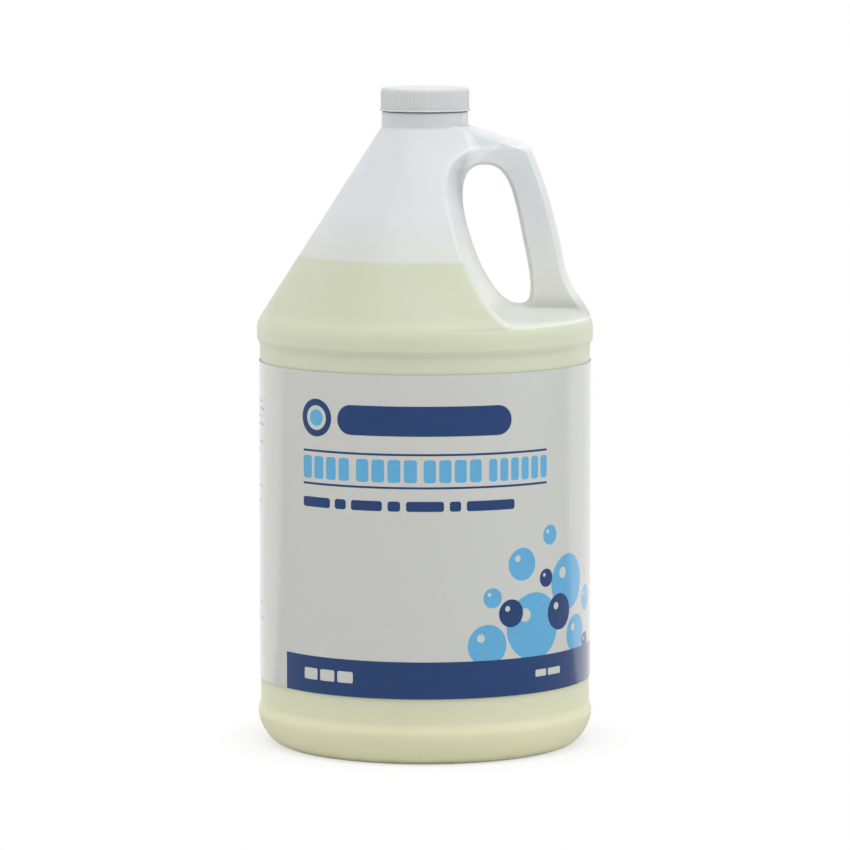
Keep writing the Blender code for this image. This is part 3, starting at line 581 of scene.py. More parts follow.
class WallMesh:
    """Points and faces of a wall that is built up row by row."""

    def __init__(self):
        self.points = []
        self.faces = []

    def place(self, row):
        """Add a row's points, and return the numbers of its front and back columns."""
        made = {}

        def point(x, y):
            key = (round(x, 8), round(y, 8))
            if key not in made:
                made[key] = len(self.points)
                self.points.append((x, y, row.z))
            return made[key]

        sides = []
        for sign in (-1.0, 1.0):
            left = [point(float(x), float(sign * y) if y else 0.0) for x, y in row.left]
            right = [point(float(x), float(sign * y) if y else 0.0) for x, y in row.right]
            sides.append((left, right))
        return sides

    def join(self, lower, upper, flip):
        """Join two placed rows with faces, all the way round."""
        for side, (below, above) in enumerate(zip(lower, upper)):
            for part in (0, 1):
                for i in range(len(below[part]) - 1):
                    face = [below[part][i], below[part][i + 1], above[part][i + 1], above[part][i]]
                    face = list(dict.fromkeys(face))
                    if len(face) > 2:
                        self.faces.append(face[::-1] if flip != bool(side) else face)

    def add_skin(self, rows, dome, flip):
        """Join rows into a skin that is closed at the middle of the base."""
        placed = [self.place(row) for row in rows]
        centre = len(self.points)
        self.points.append((0.0, 0.0, dome))
        loop = self.loop(placed[0])
        self.fan(loop, centre, not flip)
        for lower, upper in zip(placed[:-1], placed[1:]):
            self.join(lower, upper, flip)
        return self.loop(placed[-1])

    def add_level(self, rows, dome):
        """Join rows into a closed body with a level top."""
        placed = [self.place(row) for row in rows]
        self.points.append((0.0, 0.0, dome))
        self.fan(self.loop(placed[0]), len(self.points) - 1, True)
        for lower, upper in zip(placed[:-1], placed[1:]):
            self.join(lower, upper, False)
        front, back = placed[-1]
        for near, far in zip(front, back):
            for i in range(len(near) - 1):
                face = list(dict.fromkeys((near[i], near[i + 1], far[i + 1], far[i])))
                if len(face) > 2:
                    self.faces.append(face)

    def loop(self, placed):
        """Numbers of a round row in order, all the way round."""
        (front_left, front_right), (back_left, back_right) = placed
        line = front_left + front_right[1:]
        return line + back_right[-2::-1] + back_left[-2:0:-1]

    def fan(self, loop, centre, flip):
        """Close a loop with triangles to a point."""
        for i, first in enumerate(loop):
            face = [centre, first, loop[(i + 1) % len(loop)]]
            self.faces.append(face[::-1] if flip else face)

    def add_loop(self, angles, radii, z):
        """Add a loop round the axis, and return its numbers."""
        start = len(self.points)
        radii = np.broadcast_to(radii, angles.shape)
        for turn, radius in zip(angles, radii):
            self.points.append((float(radius * math.cos(turn)), float(radius * math.sin(turn)), z))
        return list(range(start, len(self.points)))

    def join_loops(self, lower, upper, flip=False):
        """Join two loops of the same count with quads."""
        total = len(lower)
        for i in range(total):
            following = (i + 1) % total
            face = [lower[i], lower[following], upper[following], upper[i]]
            self.faces.append(face[::-1] if flip else face)

    def stitch(self, first, second, flip=False):
        """Join two loops that start at the same angle, whatever their counts."""
        i = j = 0
        while i < len(first) or j < len(second):
            a, b = first[i % len(first)], second[j % len(second)]
            if (i + 1) * len(second) <= (j + 1) * len(first):
                i += 1
                face = [a, first[i % len(first)], b]
            else:
                j += 1
                face = [a, second[j % len(second)], b]
            self.faces.append(face[::-1] if flip else face)

    def object(self, name, sharp_degrees=40.0):
        """Turn the points and faces into a named object with smooth shading."""
        mesh = bpy.data.meshes.new(name)
        mesh.from_pydata(self.points, [], self.faces)
        mesh.validate()
        mesh.shade_smooth()
        mesh.set_sharp_from_angle(angle=math.radians(sharp_degrees))
        obj = bpy.data.objects.new(name, mesh)
        bpy.context.scene.collection.objects.link(obj)
        return obj


def thread_height(closure, turns, bottom, start_angle, angles, z):
    """Share of the thread's full height at each angle of a loop."""
    share = np.zeros_like(angles)
    total = 2.0 * math.pi * turns
    first = np.mod(angles - start_angle, 2.0 * math.pi)
    for lap in range(int(math.ceil(turns)) + 1):
        travel = first + 2.0 * math.pi * lap
        middle = bottom + closure.thread_pitch * travel / (2.0 * math.pi)
        away = np.abs(z - middle)
        half_root, half_crest = closure.thread_root / 2.0, closure.thread_crest / 2.0
        ridge = smooth_step((half_root - away) / (half_root - half_crest))
        fade = smooth_step(np.minimum(travel, total - travel) / closure.thread_fade)
        share = np.maximum(share, ridge * fade * (travel <= total))
    return share


def loop_angles(wall, loop):
    """Angle round the axis of each point of a loop."""
    return np.array([math.atan2(wall.points[i][1], wall.points[i][0]) for i in loop])


def build_wall(shape):
    """The hollow blown jug, with its thread and its bore."""
    body, handle, closure = shape.body, shape.handle, shape.closure
    at = Heights(body, closure)
    wall = WallMesh()
    columns = (body.columns, body.recess_columns, body.handle_columns)
    outer = Skin(body, handle, at, 0.0, columns, 14)
    rows = outer.base_rows() + outer.body_rows(96)
    neck_foot = at.neck_base + handle.brow_rise
    neck_span = body.neck_height - body.neck_taper_height - handle.brow_rise
    for share in np.linspace(0.0, 1.0, 7):
        rows.append(outer.ring(body.neck_radius, neck_foot + share * neck_span))
    for share in (0.35, 0.7, 1.0):
        rows.append(outer.ring(body.neck_radius - body.neck_taper * share ** 2,
                               at.neck_top - body.neck_taper_height * (1.0 - share)))
    loop = wall.add_skin(rows, body.push_up_height, False)
    angles = loop_angles(wall, loop)
    heights = np.linspace(at.neck_top, at.finish_top - closure.rim_chamfer, 54)
    for z in heights:
        ridge = thread_height(closure, closure.thread_turns, at.thread_bottom, 0.0, angles, z)
        following = wall.add_loop(angles, closure.finish_radius + closure.thread_depth * ridge,
                                  float(z))
        wall.join_loops(loop, following)
        loop = following
    for turn in (30.0, 60.0, 90.0):
        drop = closure.rim_chamfer * (1.0 - math.sin(math.radians(turn)))
        inset = closure.rim_chamfer * (1.0 - math.cos(math.radians(turn)))
        following = wall.add_loop(angles, closure.finish_radius - inset, at.finish_top - drop)
        wall.join_loops(loop, following)
        loop = following
    inner = Skin(body, handle, at, body.wall, (26, 8, 20), 8)
    rows = inner.base_rows() + inner.body_rows(48)
    rows.append(inner.ring(body.neck_radius - body.wall, neck_foot))
    rows.append(inner.ring(body.neck_radius - body.wall, at.neck_top - closure.bore_lead_in))
    rows.append(inner.ring(closure.bore_radius, at.neck_top))
    rows.append(inner.ring(closure.bore_radius, at.finish_top))
    inner_loop = wall.add_skin(rows, body.wall + body.push_up_height, True)
    wall.stitch(loop, inner_loop)
    jug = wall.object("blown_wall")
    mark_soap_and_rim_highlight(jug, outer, at)
    return jug


def build_soap(shape):
    """Soap in the jug, clear of the wall, with its level top and its foot in the handle."""
    body = shape.body
    at = Heights(body, shape.closure)
    skin = Skin(body, shape.handle, at, body.wall + body.soap_gap, (40, 8, 24), 10)
    level = SOAP_BOX[1].z
    rows = [row for row in skin.base_rows() + skin.body_rows(64) if row.z < level - 0.0004]
    soap = WallMesh()
    soap.add_level([*rows, skin.section(level)], skin.inset + body.push_up_height)
    return soap.object("soap_body")


def mark_soap_and_rim_highlight(jug, skin, at):
    """Store how much soap stands behind each point of the wall, next to none in the recess, and a
    painted highlight along the recess's edge.
    """
    points = np.array([tuple(vert.co) for vert in jug.data.vertices])
    x, z = points[:, 0], points[:, 2]
    share = np.ones(len(points))
    high = z > at.shoulder - 0.002
    parts = np.array_split(np.flatnonzero(high), 60)
    near = np.concatenate([skin.recess_gap(x[part], z[part]) for part in parts])
    grip = np.concatenate([
        skin.grip_depth(x[part], z[part], distance_to(skin.edge_line, x[part], z[part]))
        for part in parts])
    across = np.sqrt(np.maximum(skin.radius(z[high]) ** 2 - x[high] ** 2, 0.0))
    on_cone = 1.0 - smooth_step((grip - across * np.clip(near, 0.0, 1.0)) / 0.004)
    share[high] = 0.2 + 0.8 * np.minimum(smooth_step((near - 0.7) / 0.35), on_cone)
    # Painted highlight: a narrow light line just inside the recess's edge
    rim = np.zeros(len(points))
    rim[high] = np.exp(-((near - 0.96) / 0.1) ** 2) * skin.handle_share(z[high])
    for name, values in (("soap_behind", share), ("recess_rim_painted_highlight", rim)):
        store = jug.data.attributes.new(name, "FLOAT", "POINT")
        store.data.foreach_set("value", values.astype(np.float32))


def build_cap(shape):
    """Ribbed screw cap with a bead at its foot and a thread inside."""
    closure = shape.closure
    at = Heights(shape.body, closure)
    bottom, top = CAP_BOX[0].z, CAP_BOX[1].z
    ceiling = top - closure.cap_top
    bore = closure.finish_radius + closure.thread_depth + closure.clearance
    skirt = bore + closure.cap_wall
    rim = skirt + closure.rim_overhang
    wall = WallMesh()
    inside = np.linspace(0.0, 2.0 * math.pi, 240, endpoint=False)
    per_rib = 8
    outside = np.linspace(0.0, 2.0 * math.pi, closure.ribs * per_rib, endpoint=False)
    centre = len(wall.points)
    wall.points.append((0.0, 0.0, ceiling))
    loop = wall.add_loop(inside, bore - 0.0004, ceiling)
    wall.fan(loop, centre, False)
    start = bottom + closure.cap_thread_lift
    first_turn = (start - at.thread_bottom + closure.engagement) / closure.thread_pitch
    for z in np.linspace(ceiling - 0.0004, bottom + 0.0003, 58):
        ridge = thread_height(closure, closure.cap_thread_turns, start,
                              first_turn * 2.0 * math.pi, inside, z)
        following = wall.add_loop(inside, bore - closure.thread_depth * ridge, float(z))
        wall.join_loops(following, loop)
        loop = following
    following = wall.add_loop(inside, bore + 0.0003, bottom)
    wall.join_loops(following, loop)
    loop = following
    bead = closure.rim_height / 2.0
    middle = bottom + bead
    following = wall.add_loop(outside, rim - bead, bottom)
    wall.stitch(following, loop)
    loop = following
    ribs = (0.5 + 0.5 * np.cos(outside * closure.ribs)) ** 0.7
    profile = [(rim - bead * (1.0 - math.sin(t)), middle - bead * math.cos(t), 0.0)
               for t in np.linspace(0.0, math.pi, 11)[1:]]
    foot = bottom + closure.rim_height
    rib_top = top - closure.cap_rounding
    profile.append((skirt + 0.0001, foot + 0.00002, 0.0))
    for share, strength in ((0.02, 0.5), (0.05, 1.0), (0.35, 1.0), (0.65, 1.0), (0.93, 1.0),
                            (0.97, 0.8), (1.0, 0.45)):
        profile.append((skirt, foot + (rib_top - foot) * share, strength))
    for t in np.linspace(0.0, math.pi / 2.0, 9)[1:]:
        profile.append((skirt - closure.cap_rounding * (1.0 - math.cos(t)),
                        rib_top + closure.cap_rounding * math.sin(t), 0.25 * math.cos(t) ** 2))
    for radius, z, strength in profile:
        following = wall.add_loop(outside, radius + closure.rib_height * strength * ribs, z)
        wall.join_loops(loop, following)
        loop = following
    for radius in (skirt * 0.88, skirt * 0.7, skirt * 0.4, skirt * 0.15):
        following = wall.add_loop(outside, radius, top)
        wall.join_loops(loop, following)
        loop = following
    centre = len(wall.points)
    wall.points.append((0.0, 0.0, top))
    wall.fan(loop, centre, False)
    return wall.object("ribbed_cap", 50.0)


def flat_disc(u, z, radius, points=48):
    """Closed outline of a disc on the flat label."""
    return [(u + radius * math.cos(t), z + radius * math.sin(t))
            for t in np.linspace(0.0, 2.0 * math.pi, points, endpoint=False)]


def flat_bar(left, right, bottom, top, rounding):
    """Closed outline of a bar with rounded corners on the flat label."""
    rounding = min(rounding, (right - left) / 2.0, (top - bottom) / 2.0)
    outline = []
    inner_left, inner_right = left + rounding, right - rounding
    inner_bottom, inner_top = bottom + rounding, top - rounding
    for u, z, first in ((inner_right, inner_bottom, -90.0), (inner_right, inner_top, 0.0),
                        (inner_left, inner_top, 90.0), (inner_left, inner_bottom, 180.0)):
        for t in np.radians(first + np.linspace(0.0, 90.0, 7)):
            outline.append((u + rounding * math.cos(t), z + rounding * math.sin(t)))
    return outline


def print_shapes(label):
    """Printed shapes in the order that they lie over each other, each with its ink."""
    mm = 0.001
    shapes = []

    def bar(ink, left, right, bottom, top, rounding=0.4):
        shapes.append((ink, flat_bar(left * mm, right * mm, bottom * mm, top * mm, rounding * mm)))

    def disc(ink, u, z, radius):
        shapes.append((ink, flat_disc(u * mm, z * mm, radius * mm)))

    # Heading: a ring with a disc in it, and a broad bar
    disc("navy", -53.4, 157.4, 8.6)
    disc("film", -53.4, 157.4, 5.6)
    disc("sky", -53.4, 157.4, 3.8)
    bar("navy", -41.6, 41.0, 150.6, 164.2, 6.8)
    # Two rules with a row of short bars between them
    bar("navy", -61.4, 61.6, 141.8, 142.8, 0.2)
    bar("navy", -61.4, 61.6, 126.8, 127.8, 0.2)
    for left, right, bars in ((-61.4, -35.6, 4), (-32.0, -3.6, 4), (-0.6, 26.0, 4),
                              (29.6, 61.6, 6)):
        pitch = (right - left + 1.5) / bars
        for i in range(bars):
            bar("sky", left + i * pitch, left + (i + 1) * pitch - 1.5, 129.6, 140.0, 1.4)
    # Fine line of small bars
    for left, right in ((-61.4, -45.6), (-43.0, -37.2), (-34.6, -19.6), (-17.0, -11.2), (-8.6, 8.6),
                        (11.2, 16.4), (19.0, 42.6)):
        bar("navy", left, right, 116.6, 121.2, 1.2)
    # Bubbles that rise from the band
    for u, z, radius in ((54.0, 62.0, 15.5), (29.0, 55.0, 9.5), (78.0, 80.0, 13.0),
                         (47.0, 91.0, 7.5), (31.5, 76.5, 4.6), (64.0, 103.0, 4.6),
                         (86.0, 55.0, 9.0), (99.0, 70.0, 6.0)):
        disc("sky", u, z, radius)
        disc("film", u - radius * 0.34, z + radius * 0.36, radius * 0.2)
    for u, z, radius in ((41.0, 69.0, 6.4), (71.0, 67.0, 8.4), (61.5, 83.5, 4.2),
                         (98.0, 49.5, 4.6)):
        disc("navy", u, z, radius)
        disc("film", u - radius * 0.3, z + radius * 0.34, radius * 0.2)
    # Band along the foot of the label
    base = LABEL_BOX[0].z
    shapes.append(("navy", [(-label.band_left, base - mm), (label.band_right, base - mm),
                            (label.band_right, base + label.band_height),
                            (-label.band_left, base + label.band_height)]))
    for left, right in ((-61.0, -53.0), (-51.4, -43.4), (-41.8, -33.8)):
        bar("film", left, right, 37.4, 42.6, 0.8)
    for left, right in ((54.8, 61.6), (62.8, 71.6)):
        bar("film", left, right, 38.6, 41.8, 0.6)
    # Small print round the left of the jug and at the back
    side_print = ((160.0, (3.0, 0.0, 6.0, 1.0)), (141.0, (2.0, 8.0)),
                  (124.0, (9.0, 4.0, 12.0, 6.0)), (66.0, (4.0, 10.0, 3.0)))
    back_print = ((164.0, (0.0, 6.0, 2.0, 12.0)), (144.0, (3.0, 0.0, 9.0)),
                  (126.0, (1.0, 5.0, 0.0, 18.0)))
    for left, right, blocks in ((-150.0, -99.5, side_print), (140.0, 205.0, back_print)):
        for bottom, shortfalls in blocks:
            for i, short in enumerate(shortfalls):
                z = bottom - 3.6 * i
                bar("grey", left, right - short, z, z + 1.3, 0.4)
    return shapes


def inside_outline(outline, points):
    """Whether each point lies inside a closed outline."""
    u, z = points[:, 0], points[:, 1]
    hit = np.zeros(len(points), dtype=bool)
    corners = np.array(outline)
    for (u1, z1), (u2, z2) in zip(corners, np.roll(corners, -1, axis=0)):
        if z1 != z2:
            crosses = ((z1 > z) != (z2 > z)) & (u < (u2 - u1) * (z - z1) / (z2 - z1) + u1)
            hit ^= crosses
    return hit


def build_label(shape):
    """Wrap label whose print is cut into the film, lapped over itself at the back."""
    label = shape.label
    at = Heights(shape.body, shape.closure)
    inner = at.panel_radius + LABEL_STANDOFF
    middle_radius = inner + label.thickness
    bottom, top = LABEL_BOX[0].z, LABEL_BOX[1].z
    step = 2.0 * math.pi / label.columns
    laps = int(round(label.lap / step))
    columns = (np.arange(label.columns + laps + 1) * step - math.pi) * middle_radius
    points = [Vector((u, z)) for u in columns for z in (bottom, top)]
    edges = [(2 * i, 2 * i + 1) for i in range(len(columns))]
    for i in range(len(columns) - 1):
        edges.extend(((2 * i, 2 * i + 2), (2 * i + 1, 2 * i + 3)))
    shapes = []
    for ink, outline in print_shapes(label):
        outline = [(u, min(max(z, bottom), top)) for u, z in outline]
        shapes.append((ink, outline))
        start = len(points)
        points.extend(Vector(p) for p in outline)
        total = len(outline)
        edges.extend((start + i, start + (i + 1) % total) for i in range(total))
    flat, _, triangles, _, _, _ = delaunay_2d_cdt(points, edges, [], 0, 1e-7)
    flat = np.array([tuple(p) for p in flat])
    triangles = np.array([t for t in triangles if len(t) == 3])
    corners = flat[triangles]
    area = np.cross(corners[:, 1] - corners[:, 0], corners[:, 2] - corners[:, 0])
    real = np.abs(area) > 1e-14
    triangles, area = triangles[real], area[real]
    triangles[area < 0.0] = triangles[area < 0.0][:, ::-1]
    centres = flat[triangles].mean(axis=1)
    inks = ["film", "navy", "sky", "grey"]
    ink_of = np.zeros(len(triangles), dtype=int)
    for ink, outline in shapes:
        ink_of[inside_outline(outline, centres)] = inks.index(ink)
    around = flat[:, 0] / middle_radius
    seam = math.pi - step * 4.0
    raised = (label.thickness + label.lap_gap) * smooth_step((around - seam) / (step * 3.0))
    turn = around - math.pi / 2.0
    outward = np.column_stack((np.cos(turn), np.sin(turn), np.zeros_like(turn)))
    height = np.column_stack((np.zeros_like(turn), np.zeros_like(turn), flat[:, 1]))
    face_side = outward * (inner + label.thickness + raised)[:, None] + height
    back_side = outward * (inner + raised)[:, None] + height
    total = len(flat)
    seen = {}
    for a, b, c in triangles:
        for edge in ((a, b), (b, c), (c, a)):
            seen[edge] = True
    border = [edge for edge in seen if (edge[1], edge[0]) not in seen]
    faces = [tuple(int(v) for v in t) for t in triangles]
    faces += [tuple(int(v) + total for v in t[::-1]) for t in triangles]
    faces += [(int(b), int(a), int(a) + total, int(b) + total) for a, b in border]
    mesh = bpy.data.meshes.new("wrap_label")
    mesh.from_pydata(np.vstack((face_side, back_side)).tolist(), [], faces)
    slots = np.concatenate((ink_of, np.zeros(len(triangles) + len(border), dtype=int)))
    mesh.polygons.foreach_set("material_index", slots.astype(np.int32))
    mesh.shade_smooth()
    normals = []
    for polygon in mesh.polygons:
        side = polygon.index
        for vertex in polygon.vertices:
            if side < len(triangles):
                normals.append(tuple(outward[vertex]))
            elif side < 2 * len(triangles):
                normals.append(tuple(-outward[vertex - total]))
            else:
                normals.append(tuple(polygon.normal))
    mesh.normals_split_custom_set(normals)
    obj = bpy.data.objects.new("wrap_label", mesh)
    bpy.context.scene.collection.objects.link(obj)
    return obj


class Finish:
    """Node material that is put together in a few calls."""

    def __init__(self, name, base, roughness, **sockets):
        self.material = bpy.data.materials.new(name)
        self.material.use_nodes = True
        self.tree = self.material.node_tree
        self.shader = self.tree.nodes["Principled BSDF"]
        self.shader.inputs["Base Color"].default_value = (*base, 1.0)
        self.shader.inputs["Roughness"].default_value = roughness
        for socket, value in sockets.items():
            self.shader.inputs[socket.replace("_", " ")].default_value = value
        self.place = self.node("ShaderNodeTexCoord").outputs["Object"]

    def node(self, kind, **settings):
        """Add a node with some of its settings."""
        made = self.tree.nodes.new(kind)
        for key, value in settings.items():
            setattr(made, key, value)
        return made

    def link(self, output, socket):
        """Join an output to an input."""
        self.tree.links.new(output, socket)

    def scaled(self, stretch):
        """The place, stretched along its axes."""
        mapping = self.node("ShaderNodeMapping")
        mapping.inputs["Scale"].default_value = stretch
        self.link(self.place, mapping.inputs["Vector"])
        return mapping.outputs["Vector"]

    def noise(self, scale, detail=2.0, stretch=(1.0, 1.0, 1.0)):
        """Soft noise between 0 and 1."""
        made = self.node("ShaderNodeTexNoise")
        made.inputs["Scale"].default_value = scale
        made.inputs["Detail"].default_value = detail
        self.link(self.scaled(stretch), made.inputs["Vector"])
        return made.outputs["Fac"]

    def ranged(self, value, start, end, low, high, smooth=True):
        """Value carried from one range to another."""
        made = self.node("ShaderNodeMapRange")
        made.interpolation_type = "SMOOTHSTEP" if smooth else "LINEAR"
        for socket, amount in (("From Min", start), ("From Max", end),
                               ("To Min", low), ("To Max", high)):
            made.inputs[socket].default_value = amount
        self.link(value, made.inputs["Value"])
        return made.outputs["Result"]

    def math(self, operation, first, second):
        """Two values put together."""
        made = self.node("ShaderNodeMath", operation=operation)
        for socket, value in zip(made.inputs, (first, second)):
            if isinstance(value, (int, float)):
                socket.default_value = value
            else:
                self.link(value, socket)
        return made.outputs["Value"]

    def mix(self, share, first, second, blend="MIX"):
        """Two colours mixed by a share."""
        made = self.node("ShaderNodeMix", data_type="RGBA", blend_type=blend)
        sockets = (made.inputs[i] for i in (MIX_FACTOR, MIX_FIRST, MIX_SECOND))
        for socket, value in zip(sockets, (share, first, second)):
            if isinstance(value, bpy.types.NodeSocket):
                self.link(value, socket)
            elif isinstance(value, (int, float)):
                socket.default_value = value
            else:
                socket.default_value = (*value, 1.0)
        return made.outputs[MIX_COLOUR]

    def bump(self, height, strength, distance):
        """Relief from a height value."""
        made = self.node("ShaderNodeBump")
        made.inputs["Strength"].default_value = strength
        made.inputs["Distance"].default_value = distance
        self.link(height, made.inputs["Height"])
        self.link(made.outputs["Normal"], self.shader.inputs["Normal"])

    def base(self, colour_output):
        """Set the colour from nodes."""
        self.link(colour_output, self.shader.inputs["Base Color"])

    def roughness(self, value):
        """Set the roughness from nodes."""
        self.link(value, self.shader.inputs["Roughness"])


def wall_finish(colours):
    """Milky blown wall, tinted where soap stands behind it, with painted light and a painted
    highlight.
    """
    finish = Finish("milky_wall", colours.wall_high, 0.4, Subsurface_Weight=0.5,
                    Subsurface_Scale=0.008, IOR=1.5, Specular_IOR_Level=0.3)
    finish.shader.inputs["Subsurface Radius"].default_value = (1.0, 1.0, 1.0)
    split = finish.node("ShaderNodeSeparateXYZ")
    finish.link(finish.place, split.inputs["Vector"])
    z = split.outputs["Z"]
    level = SOAP_BOX[1].z
    streak = finish.noise(9.0, 3.0, (1.0, 1.0, 0.25))
    wavy = finish.math("ADD", z, finish.ranged(finish.noise(140.0, 3.0), 0.2, 0.8, -0.0003, 0.0003))
    deep = finish.mix(finish.ranged(z, level - 0.038, level - 0.022, 0.0, 1.0),
                      colours.soap_deep, colours.soap_top)
    # Soap tint, drawn lighter towards the heel as painted light
    foot = finish.mix(finish.ranged(z, 0.01, 0.04, 0.0, 1.0), colours.soap_foot_painted_light, deep)
    air = finish.mix(finish.ranged(z, level, level + 0.025, 0.0, 1.0),
                     colours.wall_line, colours.wall_high)
    behind = finish.node("ShaderNodeAttribute", attribute_name="soap_behind").outputs["Fac"]
    below = finish.ranged(wavy, level - 0.0009, level + 0.0009, 1.0, 0.0)
    whole = finish.mix(finish.math("MULTIPLY", below, behind), air, foot)
    shade = finish.ranged(streak, 0.3, 0.7, 0.985, 1.012)
    # Painted light: where little soap stands behind the wall it is untinted and drawn lighter than
    # the bare wall, lightest at the handle's foot, with a darker ledge under the hole
    thin_painted_light = finish.mix(finish.ranged(z, level - 0.018, level + 0.028, 0.0, 1.0),
                      colours.handle_foot_painted_light, colours.thin_wall_painted_light)
    thin_painted_light = finish.mix(finish.ranged(z, level - 0.0245, level - 0.016, 0.0, 1.0),
                      colours.wall_ledge, thin_painted_light)
    whole = finish.mix(finish.ranged(behind, 0.25, 0.95, 0.8, 0.0), whole, thin_painted_light)
    # Painted highlight: the wall is drawn lighter along the recess's edge
    rim = finish.node("ShaderNodeAttribute", attribute_name="recess_rim_painted_highlight").outputs["Fac"]
    whole = finish.mix(finish.math("MULTIPLY", rim, 0.7), whole, colours.rim_painted_highlight)
    cloud = finish.mix(1.0, whole, shade, "MULTIPLY")
    speck = finish.node("ShaderNodeTexVoronoi")
    speck.inputs["Scale"].default_value = 60.0
    finish.link(finish.place, speck.inputs["Vector"])
    dust = finish.ranged(speck.outputs["Distance"], 0.014, 0.022, 0.5, 1.0)
    finish.base(finish.mix(1.0, cloud, dust, "MULTIPLY"))
    finish.roughness(finish.ranged(finish.noise(60.0, 3.0), 0.3, 0.7, 0.36, 0.46))
    seam = finish.ranged(finish.math("ABSOLUTE", split.outputs["Y"], 0.0), 0.0, 0.0005, 0.8, 0.0)
    grain = finish.math("MULTIPLY", finish.noise(420.0, 3.0), 0.12)
    finish.bump(finish.math("ADD", grain, seam), 1.0, 0.0002)
    return finish.material


def liquid_finish(colours):
    """Clear pale soap."""
    finish = Finish("soap_liquid", colours.liquid, 0.08, Transmission_Weight=0.85, IOR=1.35)
    finish.base(finish.mix(finish.ranged(finish.noise(14.0, 2.0), 0.3, 0.7, 0.0, 0.3),
                           colours.liquid, colours.soap_top))
    finish.roughness(finish.ranged(finish.noise(40.0, 2.0), 0.3, 0.7, 0.05, 0.12))
    return finish.material


def film_finish(name, ink, roughness, grain):
    """Glossy printed film, slightly uneven in tone and in gloss."""
    finish = Finish(name, ink, roughness, Specular_IOR_Level=0.5, Coat_Weight=0.5,
                    Coat_Roughness=0.04)
    tone_share = finish.ranged(finish.noise(700.0, 4.0), 0.2, 0.8, 1.0 - grain, 1.0 + grain)
    finish.base(finish.mix(1.0, ink, tone_share, "MULTIPLY"))
    finish.roughness(finish.ranged(finish.noise(260.0, 2.0), 0.2, 0.8,
                                   roughness - 0.03, roughness + 0.04))
    finish.bump(finish.noise(500.0, 2.0), 0.03, 0.0001)
    return finish.material


def cap_finish(colours):
    """White moulded cap, satin."""
    finish = Finish("white_cap", colours.cap, 0.38, Subsurface_Weight=0.15, Subsurface_Scale=0.0015)
    share = finish.ranged(finish.noise(70.0, 3.0), 0.3, 0.7, 0.985, 1.01)
    finish.base(finish.mix(1.0, colours.cap, share, "MULTIPLY"))
    finish.roughness(finish.ranged(finish.noise(160.0, 2.0), 0.3, 0.7, 0.34, 0.44))
    finish.bump(finish.noise(700.0, 2.0), 0.1, 0.0001)
    return finish.material


def foam_finish(colours):
    """Fine closed foam."""
    finish = Finish("liner_foam", colours.foam, 0.85)
    share = finish.ranged(finish.noise(900.0, 2.0), 0.3, 0.7, 0.9, 1.02)
    finish.base(finish.mix(1.0, colours.foam, share, "MULTIPLY"))
    finish.roughness(finish.ranged(finish.noise(400.0, 2.0), 0.3, 0.7, 0.8, 0.92))
    finish.bump(finish.noise(1500.0, 2.0), 0.35, 0.0001)
    return finish.material


class REFILLJUG_OT_wall(bpy.types.Operator):
    """Build the hollow blown jug with its handle, neck and thread"""

    bl_idname = "refilljug.wall"
    bl_label = "Blown Wall"
    bl_options = {"REGISTER", "UNDO"}

    def execute(self, context):
        shape = context.scene.refill_jug
        wall = build_wall(shape)
        wall.data.materials.append(wall_finish(shape.colours))
        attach(wall, "bottle")
        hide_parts("bottle")
        return {"FINISHED"}


class REFILLJUG_OT_soap(bpy.types.Operator):
    """Build the liquid in the jug up to its level"""

    bl_idname = "refilljug.soap"
    bl_label = "Soap"
    bl_options = {"REGISTER", "UNDO"}

    def execute(self, context):
        shape = context.scene.refill_jug
        soap = build_soap(shape)
        soap.data.materials.append(liquid_finish(shape.colours))
        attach(soap, "bottle")
        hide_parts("soap")
        return {"FINISHED"}


class REFILLJUG_OT_label(bpy.types.Operator):
    """Build the wrap label with its printed shapes"""

    bl_idname = "refilljug.label"
    bl_label = "Wrap Label"
    bl_options = {"REGISTER", "UNDO"}

    def execute(self, context):
        shape = context.scene.refill_jug
        colours = shape.colours
        label = build_label(shape)
        grey = tuple(0.35 * c for c in colours.film)
        for name, ink, grain in (("film_white", colours.film, 0.008),
                                 ("film_navy", colours.navy, 0.05),
                                 ("film_sky", colours.sky, 0.03),
                                 ("film_grey", grey, 0.05)):
            label.data.materials.append(film_finish(name, ink, 0.16, grain))
        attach(label, "bottle")
        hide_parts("label")
        return {"FINISHED"}


class REFILLJUG_OT_cap(bpy.types.Operator):
    """Build the ribbed screw cap with its thread"""

    bl_idname = "refilljug.cap"
    bl_label = "Ribbed Cap"
    bl_options = {"REGISTER", "UNDO"}

    def execute(self, context):
        shape = context.scene.refill_jug
        cap = build_cap(shape)
        cap.data.materials.append(cap_finish(shape.colours))
        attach(cap, "cap")
        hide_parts("cap")
        return {"FINISHED"}


class REFILLJUG_OT_liner(bpy.types.Operator):
    """Give the liner under the cap its foam finish"""

    bl_idname = "refilljug.liner"
    bl_label = "Cap Liner"
    bl_options = {"REGISTER", "UNDO"}

    def execute(self, context):
        finish = foam_finish(context.scene.refill_jug.colours)
        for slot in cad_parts["cap_liner"].material_slots:
            slot.material = finish
        return {"FINISHED"}


def add_lamp(name, size, size_y, power, place, aim, tint=(1.0, 1.0, 1.0)):
    """Soft rectangular lamp that looks at a point."""
    lamp = bpy.data.lights.new(name, "AREA")
    lamp.shape = "RECTANGLE"
    lamp.size = size
    lamp.size_y = size_y
    lamp.energy = power
    lamp.color = tint
    obj = bpy.data.objects.new(name, lamp)
    obj.location = place
    obj.rotation_euler = (Vector(aim) - Vector(place)).to_track_quat("-Z", "Y").to_euler()
    bpy.context.scene.collection.objects.link(obj)
    return obj


